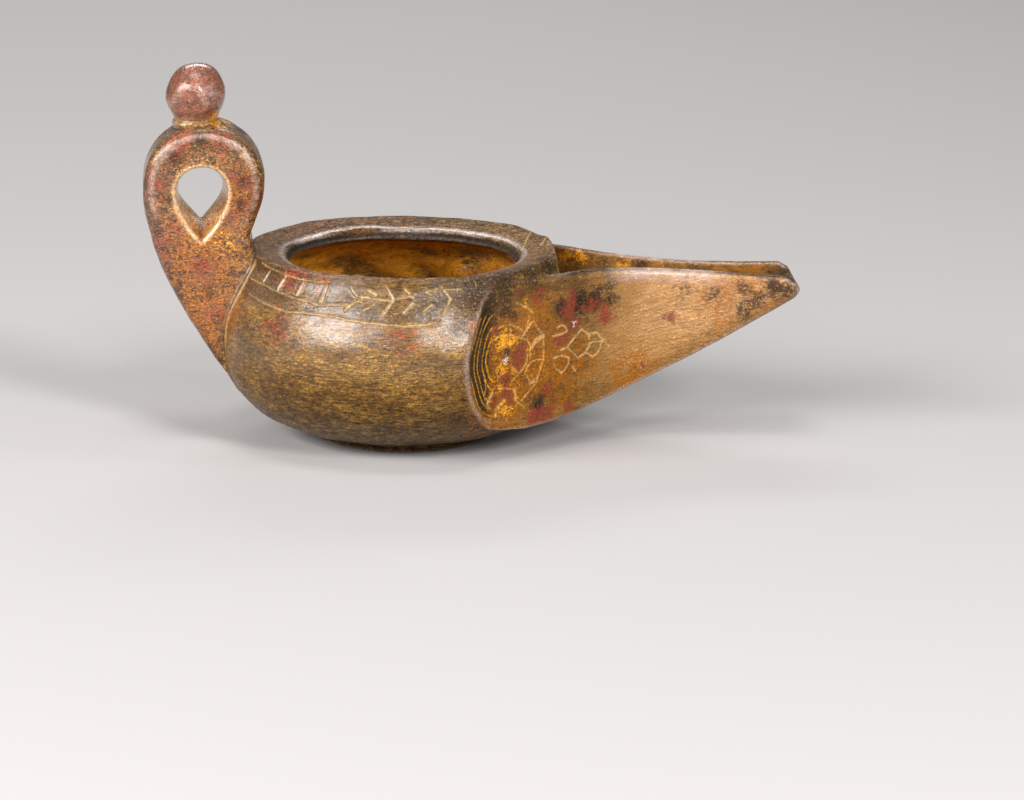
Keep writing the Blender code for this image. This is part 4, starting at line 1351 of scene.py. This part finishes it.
@dataclass(frozen=True)
class BronzeFinish:
    """Old bronze, brown and olive gold, rubbed on its edges and stained in patches, with painted
    highlights and painted shade.
    """

    olive: Colour = (0.064, 0.034, 0.009, 1.0)
    brown: Colour = (0.135, 0.062, 0.013, 1.0)
    gold: Colour = (0.310, 0.162, 0.034, 1.0)
    tan: Colour = (0.520, 0.275, 0.100, 1.0)
    straw: Colour = (0.440, 0.320, 0.150, 1.0)
    deep_tan: Colour = (0.330, 0.155, 0.042, 1.0)
    bare: Colour = (0.720, 0.430, 0.170, 1.0)
    clay: Colour = (0.410, 0.205, 0.060, 1.0)
    rose: Colour = (0.330, 0.115, 0.060, 1.0)
    plum: Colour = (0.105, 0.040, 0.020, 1.0)
    shade: Colour = (0.012, 0.009, 0.005, 1.0)
    # Near-black green laid as painted shade in the coves and creases.
    shade_green: Colour = (0.014, 0.015, 0.006, 1.0)
    red: Colour = (0.275, 0.046, 0.022, 1.0)
    ochre: Colour = (0.320, 0.104, 0.003, 1.0)
    amber: Colour = (0.760, 0.320, 0.010, 1.0)
    bright_amber: Colour = (0.950, 0.470, 0.070, 1.0)
    cream: Colour = (0.930, 0.620, 0.270, 1.0)
    # A pale lilac laid as painted highlights on edges, the rim band and the cove's edge.
    highlight_lilac: Colour = (0.560, 0.420, 0.350, 1.0)
    pale: Colour = (0.760, 0.700, 0.600, 1.0)
    # Orange lining, much brighter than the metal is: painted light in the shadowed hollow.
    lining_with_painted_light: Colour = (0.660, 0.300, 0.026, 1.0)
    deep_lining_with_painted_light: Colour = (0.420, 0.185, 0.016, 1.0)
    channel: Colour = (0.310, 0.140, 0.030, 1.0)
    metal: float = 0.40
    roughness: float = 0.30
    gloss: float = 0.45
    coat: float = 1.0
    coat_roughness: float = 0.16
    relief_depth: float = 0.34
    relief_strength: float = 0.9
    coat_relief_strength: float = 0.22

    def clean(self, nodes: Nodes, grains: Grains) -> Socket:
        """Colour of the clean metal: belly, spout, handle, knob and inside."""
        mark, ramp, felt, laid = nodes.mark, nodes.ramp, nodes.felt, nodes.laid
        mottle, grain = grains.mottle, grains.grain
        both = nodes.plus(nodes.times(mottle, 0.7), nodes.times(grain, 0.3))
        drift = nodes.noise((0.10, 0.10, 0.26), 4.0, 0.62, 7.7)
        turned = nodes.noise((0.22, 0.22, 2.4), 4.0, 0.7, 5.3)
        belly = laid(self.brown,
                     (ramp(drift, 0.38, 0.62, 0.02, 0.82), self.gold),
                     (ramp(both, 0.42, 0.66, 0.0, 0.5), self.gold),
                     (ramp(turned, 0.42, 0.66, 0.0, 0.8), self.olive))
        clouds = nodes.noise((0.075, 0.075, 0.10), 3.0, 0.5)
        brushed = nodes.noise((0.12, 1.0, 3.0), 4.0, 0.7, 9.1, 14.0)
        spout = laid(self.deep_tan,
                     (ramp(brushed, 0.34, 0.62), self.tan),
                     (ramp(clouds, 0.50, 0.72, 0.0, 0.6), self.deep_tan),
                     # Painted shade: browner towards the bottom of the spout.
                     (nodes.times(mark("low"), 0.6), self.brown))
        pits = nodes.noise((0.6, 0.6, 0.7), 4.0, 0.62, 71.0)
        handle = laid(self.plum,
                      (ramp(mottle, 0.38, 0.60), self.clay),
                      (felt("ring", both, 0.40, 0.62, 0.85, 0.2), self.brown),
                      (ramp(both, 0.50, 0.66, 0.0, 0.6), self.gold),
                      (ramp(pits, 0.44, 0.36, 0.0, 0.85), self.plum),
                      (ramp(grain, 0.45, 0.36, 0.0, 0.75), self.plum),
                      (ramp(grain, 0.53, 0.63, 0.0, 0.6), self.tan),
                      (felt("spine", mottle, 0.56, 0.42, 0.5, 0.92), self.plum))
        knob = nodes.blend(ramp(both, 0.30, 0.66), self.plum, self.rose)
        trough = nodes.blend(ramp(both, 0.38, 0.58), self.brown, self.channel)
        # The hollow's own orange, with painted light: far brighter than the lamps make it.
        inside = laid(self.deep_lining_with_painted_light,
                      (ramp(mottle, 0.38, 0.60), self.lining_with_painted_light), (mark("trough"), trough))
        # Hole wall and collar painted lighter: rubbed metal with painted light in the hole, a
        # painted highlight on the collar.
        bare = nodes.times(nodes.most(mark("hole"), mark("collar")), 0.8)
        return laid(belly,
                    (mark("spout"), spout),
                    (felt("shoulder", clouds, 0.40, 0.60, 0.9, 0.5), self.olive),
                    (mark("handle"), handle),
                    (mark("knob"), knob),
                    (bare, nodes.blend(mark("hole"), self.tan, self.bare)),
                    (mark("inner"), inside))

    def stained(self, nodes: Nodes, grains: Grains, base: Socket) -> Socket:
        """The metal with its ragged patches of rust and dirt, and the dark rim."""
        mark, ramp, times, laid = nodes.mark, nodes.ramp, nodes.times, nodes.laid
        mottle, grain, flecks = grains.mottle, grains.grain, grains.flecks
        rag = nodes.plus(ramp(mottle, 0.30, 0.70, -0.32, 0.32), ramp(grain, 0.34, 0.66, -0.4, 0.4))
        stain = nodes.blend(ramp(flecks, 0.40, 0.52, 0.25, 1.0), self.plum, self.red)
        soot = laid(self.shade,
                    (ramp(mottle, 0.46, 0.58, 0.0, 0.55), self.plum),
                    (ramp(grain, 0.56, 0.64, 0.0, 0.75), self.straw))
        rust = ramp(mark("ochre"), 0.48, 0.70)
        rim = laid(self.plum,
                   (ramp(grain, 0.42, 0.62), self.deep_tan),
                   (ramp(mottle, 0.42, 0.60, 0.25, 0.75), self.olive),
                   (ramp(flecks, 0.56, 0.66, 0.0, 0.5), self.straw))

        def patch(tint: Tint, low: float, high: float, share: float) -> Socket:
            """Share of a patch, with a ragged edge."""
            here = mark(tint.value)
            return times(ramp(nodes.plus(here, rag), low, high), ramp(here, 0.03, 0.25), share)

        return laid(base,
                    (patch(Tint.OCHRE, 0.05, 0.55, 0.9), self.ochre),
                    (times(rust, ramp(grain, 0.50, 0.41, 0.0, 0.9)), self.plum),
                    (times(rust, ramp(grain, 0.53, 0.62, 0.0, 0.85)), self.amber),
                    (patch(Tint.AMBER, 0.44, 0.76, 0.95), self.amber),
                    (patch(Tint.DARK, 0.34, 0.60, 0.95), soot),
                    (patch(Tint.RED, 0.42, 0.68, 0.92), stain),
                    (patch(Tint.PALE, 0.45, 0.70, 0.9), self.pale),
                    (times(mark("rim"), nodes.less(0.8, mark("dark"))), rim))

    def scratched(self, nodes: Nodes, grains: Grains, base: Socket) -> Socket:
        """The stained metal, made lighter and darker by its grain and fine scratches."""
        mark, ramp, times, most = nodes.mark, nodes.ramp, nodes.times, nodes.most
        covered = times(most(mark("side"), mark("inner")), 0.6)
        uneven = nodes.less(ramp(mark("spout"), 0.0, 1.0, 0.85, 0.4), covered)
        pitted = ramp(mark("handle"), 0.0, 1.0, 0.55, 1.0)
        coarse = times(uneven, pitted)
        upright = times(most(mark("handle"), mark("knob")), 0.8)
        scratch = nodes.noise((0.7, 0.7, 4.2), 4.0, 0.72, 23.0)
        base = nodes.laid(base,
                          (coarse, ramp(grains.grain, 0.38, 0.62, 0.42, 1.5)),
                          (coarse, ramp(grains.flecks, 0.36, 0.62, 0.5, 1.5)),
                          (times(uneven, nodes.less(1.0, upright)),
                           ramp(scratch, 0.37, 0.63, 0.32, 1.7)), how="MULTIPLY")
        pits = times(ramp(grains.flecks, 0.40, 0.32, 0.0, 0.75), pitted)
        return nodes.blend(pits, base, self.shade)

    def rubbed(self, nodes: Nodes, grains: Grains, base: Socket) -> Socket:
        """The metal with painted shade low down, under the rim and in creases, its rubbed edges
        with painted highlights, and the bright engraved lines.
        """
        mark, ramp, times, felt = nodes.mark, nodes.ramp, nodes.times, nodes.felt
        mottle, grain = grains.mottle, grains.grain
        groove = times(ramp(mark("groove"), 0.45, 0.95), ramp(grain, 0.40, 0.56, 0.1, 1.0))
        # Painted highlights along the top of the spout's sides and the ring's edges.
        crest = nodes.most(mark("crest"), times(mark("arris_highlight"), 0.6))
        worn_and_glint = felt("worn_and_glint", grain, 0.36, 0.62, 0.2, 1.2)
        bare = felt("hole", mottle, 0.42, 0.56, 0.25, 0.9)
        band = ramp(times(mark("band"), grain), 0.25, 0.6, 0.0, 0.6)
        broken = times(ramp(grain, 0.38, 0.58, 0.35, 1.0), ramp(mottle, 0.38, 0.56, 0.5, 1.0))
        fresh = times(ramp(mark("ochre"), 0.35, 0.65), ramp(mottle, 0.40, 0.58, 0.2, 0.9))
        line = nodes.laid(self.cream,
                          (times(mark("shoulder"), 0.4), self.straw), (fresh, self.bright_amber))
        return nodes.laid(base,
                          # Painted shade low on the belly, broken up by the mottle.
                          (felt("foot", mottle, 0.54, 0.42, 0.1, 0.6), self.shade),
                          # Painted shadow under the rim's inner edge.
                          (times(mark("lip_shadow"), 0.9), self.shade),
                          # Painted shade in the coves.
                          (felt("cove", grain, 0.62, 0.50, 0.6, 0.96), self.shade_green),
                          (groove, self.amber),
                          # Painted shade in creases.
                          (times(felt("crease_shade", mottle, 0.3, 0.7, 1.2, 0.6), 0.6), self.shade_green),
                          # Painted shade on the top of the spout's walls.
                          (felt("ledge_shade", grain, 0.35, 0.65, 0.95, 0.6), self.shade),
                          # Painted highlight in lilac along the crest and the ring's edges.
                          (times(crest, ramp(mottle, 0.36, 0.60, 0.3, 0.8)), self.highlight_lilac),
                          (felt("seam", grain, 0.36, 0.54, 0.45, 1.0), self.cream),
                          # Rubbed edges in lilac: partly wear, partly a painted highlight.
                          (times(worn_and_glint, 0.65), self.highlight_lilac),
                          (times(worn_and_glint, bare), self.cream),
                          # Painted highlight on the rim's band.
                          (band, self.highlight_lilac),
                          # Painted highlight on the cove's edge.
                          (felt("lip_highlight", grain, 0.34, 0.60, 0.1, 0.6), self.highlight_lilac),
                          (nodes.math("MULTIPLY", mark("cut"), broken, clamp=True), line))

    def colour(self, nodes: Nodes) -> Socket:
        """The colour of the metal, from its broad clouds to its fine flecks and cuts."""
        grains = Grains(nodes.noise((0.48, 0.48, 0.55), 6.0, 0.62, 3.1),
                        nodes.noise((1.5, 1.5, 1.9), 5.0, 0.78, 12.4),
                        nodes.noise((2.6, 2.6, 3.0), 3.0, 0.7, 44.0))
        base = self.clean(nodes, grains)
        for step in (self.stained, self.scratched, self.rubbed):
            base = step(nodes, grains, base)
        return base

    def roughness_map(self, nodes: Nodes) -> Socket:
        """How rough the metal is from place to place."""
        mark, times = nodes.mark, nodes.times
        patches = nodes.noise((0.9, 0.9, 1.1), 5.0, 0.65, 21.0)
        rough = nodes.ramp(patches, 0.34, 0.66, self.roughness - 0.10, self.roughness + 0.16)
        dull = nodes.less(nodes.plus(mark("inner"), mark("rim")), mark("band"))
        rough = nodes.plus(rough, times(mark("dark"), 0.12), times(dull, 0.2))
        return nodes.math("ADD", rough, times(mark("cut"), 0.1), clamp=True)

    def shine(self, nodes: Nodes) -> Socket:
        """How much the metal is polished by hands from place to place, from 0 to 1."""
        mark = nodes.mark
        kept = nodes.ramp(nodes.noise((0.5, 0.5, 0.6), 4.0, 0.6, 61.0), 0.34, 0.54, 0.58, 1.0)
        crust = nodes.times(nodes.most(mark("dark"), mark("ledge_shade"), mark("low")), 0.85)
        return nodes.times(mark("shine"), kept, nodes.less(1.0, crust))

    def relief(self, nodes: Nodes) -> Socket:
        """Fine unevenness: brush marks along the body, grain, lumps and small pits."""
        brushed = nodes.noise((0.35, 0.5, 4.0), 4.0, 0.7, 31.0, 17.0)
        grain = nodes.noise((1.3, 1.3, 1.5), 5.0, 0.72, 17.0)
        lumps = nodes.noise((0.35, 0.35, 0.42), 3.0, 0.55, 41.0)
        pits = nodes.ramp(nodes.noise((0.8, 0.8, 0.9), 2.0, 0.5, 51.0), 0.32, 0.22, 0.0, -0.7)
        times = nodes.times
        return nodes.plus(times(brushed, 0.45), times(grain, 0.85), times(lumps, 0.8), pits)

    def bumped(self, nodes: Nodes, height: Socket, strength: float) -> Socket:
        """The direction of the skin with a relief laid on it."""
        bump = nodes.add("ShaderNodeBump")
        bump.inputs["Strength"].default_value = strength
        bump.inputs["Distance"].default_value = self.relief_depth * MM
        nodes.feed(bump.inputs["Height"], height)
        return bump.outputs["Normal"]

    def material(self) -> bpy.types.Material:
        """The finished material."""
        material, shader = new_material("old_bronze")
        nodes = Nodes(material.node_tree)
        relief, shine = self.relief(nodes), self.shine(nodes)
        for name, value in {
                "Base Color": self.colour(nodes),
                "Roughness": self.roughness_map(nodes),
                "Normal": self.bumped(nodes, relief, self.relief_strength),
                "Coat Normal": self.bumped(nodes, relief, self.coat_relief_strength),
                "Coat Weight": nodes.times(shine, self.coat),
                "Specular IOR Level": nodes.ramp(shine, 0.0, 1.0, 0.12, self.gloss),
                "Metallic": self.metal,
                "Coat Roughness": self.coat_roughness}.items():
            nodes.feed(shader.inputs[name], value)
        return material


@dataclass(frozen=True)
class SoftLight:
    """One large soft lamp of the studio."""

    name: str
    place: Spot
    target: Spot
    width: float
    height: float
    power: float
    colour: Spot = (1.0, 1.0, 1.0)

    def build(self) -> bpy.types.Object:
        """Put the light into the scene, facing its target."""
        data = bpy.data.lights.new(self.name, "AREA")
        data.shape = "RECTANGLE"
        data.size, data.size_y = self.width, self.height
        data.energy = self.power
        data.color = self.colour
        light = placed(self.name, data)
        light.location = self.place
        facing = Vector(self.target) - Vector(self.place)
        light.rotation_euler = facing.to_track_quat("-Z", "Y").to_euler()
        return light


@dataclass
class Studio:
    """The pale floor, the soft lights and the camera. Its lengths are in metres."""

    floor_colour: Colour = (0.44, 0.43, 0.42, 1.0)
    sky_colour: Colour = (0.66, 0.66, 0.67, 1.0)
    sky_strength: float = 0.2
    floor_size: float = 6.0
    eye: Spot = (-0.07124, -1.16846, 0.29387)
    right: Spot = (0.99676, -0.07966, 0.01104)
    up: Spot = (0.00825, 0.23782, 0.97127)
    forward: Spot = (0.08000, 0.96804, -0.23771)
    lens: float = 184.78
    lights: tuple[SoftLight, ...] = (
        SoftLight("key", (-0.74, -0.57, 0.53), (0, 0, 0.03), 0.85, 0.36, 17.4, (1, 0.97, 0.98)),
        SoftLight("right_front", (0.49, -0.81, 0.57), (0, 0, 0.03), 0.24, 0.34, 9.2,
                  (1, 0.98, 0.99)),
        SoftLight("right_side", (0.95, -0.30, 0.40), (0, 0, 0.04), 0.20, 0.30, 2.4),
        SoftLight("overhead", (-0.05, -0.10, 1.10), (0, 0, 0.03), 0.36, 0.30, 3.0),
        SoftLight("back_top", (-0.03, 0.86, 0.63), (0, 0, 0.04), 0.60, 0.14, 3.2),
    )

    def build_floor(self) -> bpy.types.Object:
        """A wide plain floor."""
        a = self.floor_size / 2
        mesh = bpy.data.meshes.new("floor")
        mesh.from_pydata([(-a, -a, 0), (a, -a, 0), (a, a, 0), (-a, a, 0)], [], [(0, 1, 2, 3)])
        material, shader = new_material("pale_floor")
        shader.inputs["Base Color"].default_value = self.floor_colour
        shader.inputs["Roughness"].default_value = 0.95
        shader.inputs["Specular IOR Level"].default_value = 0.1
        mesh.materials.append(material)
        floor = placed("floor", mesh)
        return floor

    def build_sky(self) -> None:
        """An even, pale surround."""
        world = bpy.data.worlds.new("studio")
        world.use_nodes = True
        background = world.node_tree.nodes["Background"]
        background.inputs["Color"].default_value = self.sky_colour
        background.inputs["Strength"].default_value = self.sky_strength
        bpy.context.scene.world = world

    def build_camera(self) -> bpy.types.Object:
        """The camera where the photographer stood."""
        data = bpy.data.cameras.new("camera")
        data.lens = self.lens
        data.sensor_width = 36.0
        data.clip_start = 0.05
        data.dof.use_dof = False
        camera = placed("camera", data)
        turn = Matrix((self.right, self.up, -Vector(self.forward))).transposed()
        camera.matrix_world = Matrix.Translation(self.eye) @ turn.to_4x4()
        bpy.context.scene.camera = camera
        return camera

    def build(self) -> None:
        """Put up the whole studio."""
        self.build_floor()
        self.build_sky()
        for light in self.lights:
            light.build()
        self.build_camera()
        bpy.context.scene.view_settings.view_transform = "Standard"


def main() -> None:
    """Build the lamp and the studio, and log the size of the lamp's mesh."""
    logging.basicConfig(level=logging.INFO, format="%(name)s %(message)s")
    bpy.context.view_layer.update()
    lamp = Casting().build()
    lamp.data.materials.append(BronzeFinish().material())
    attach(lamp, BODY)
    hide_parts(NODE)
    LOG.info("bronze_lamp replaces %s", NODE)
    Studio().build()
    LOG.info("studio: floor, lights and camera")
    bpy.context.view_layer.update()


if __name__ == "__main__":
    main()
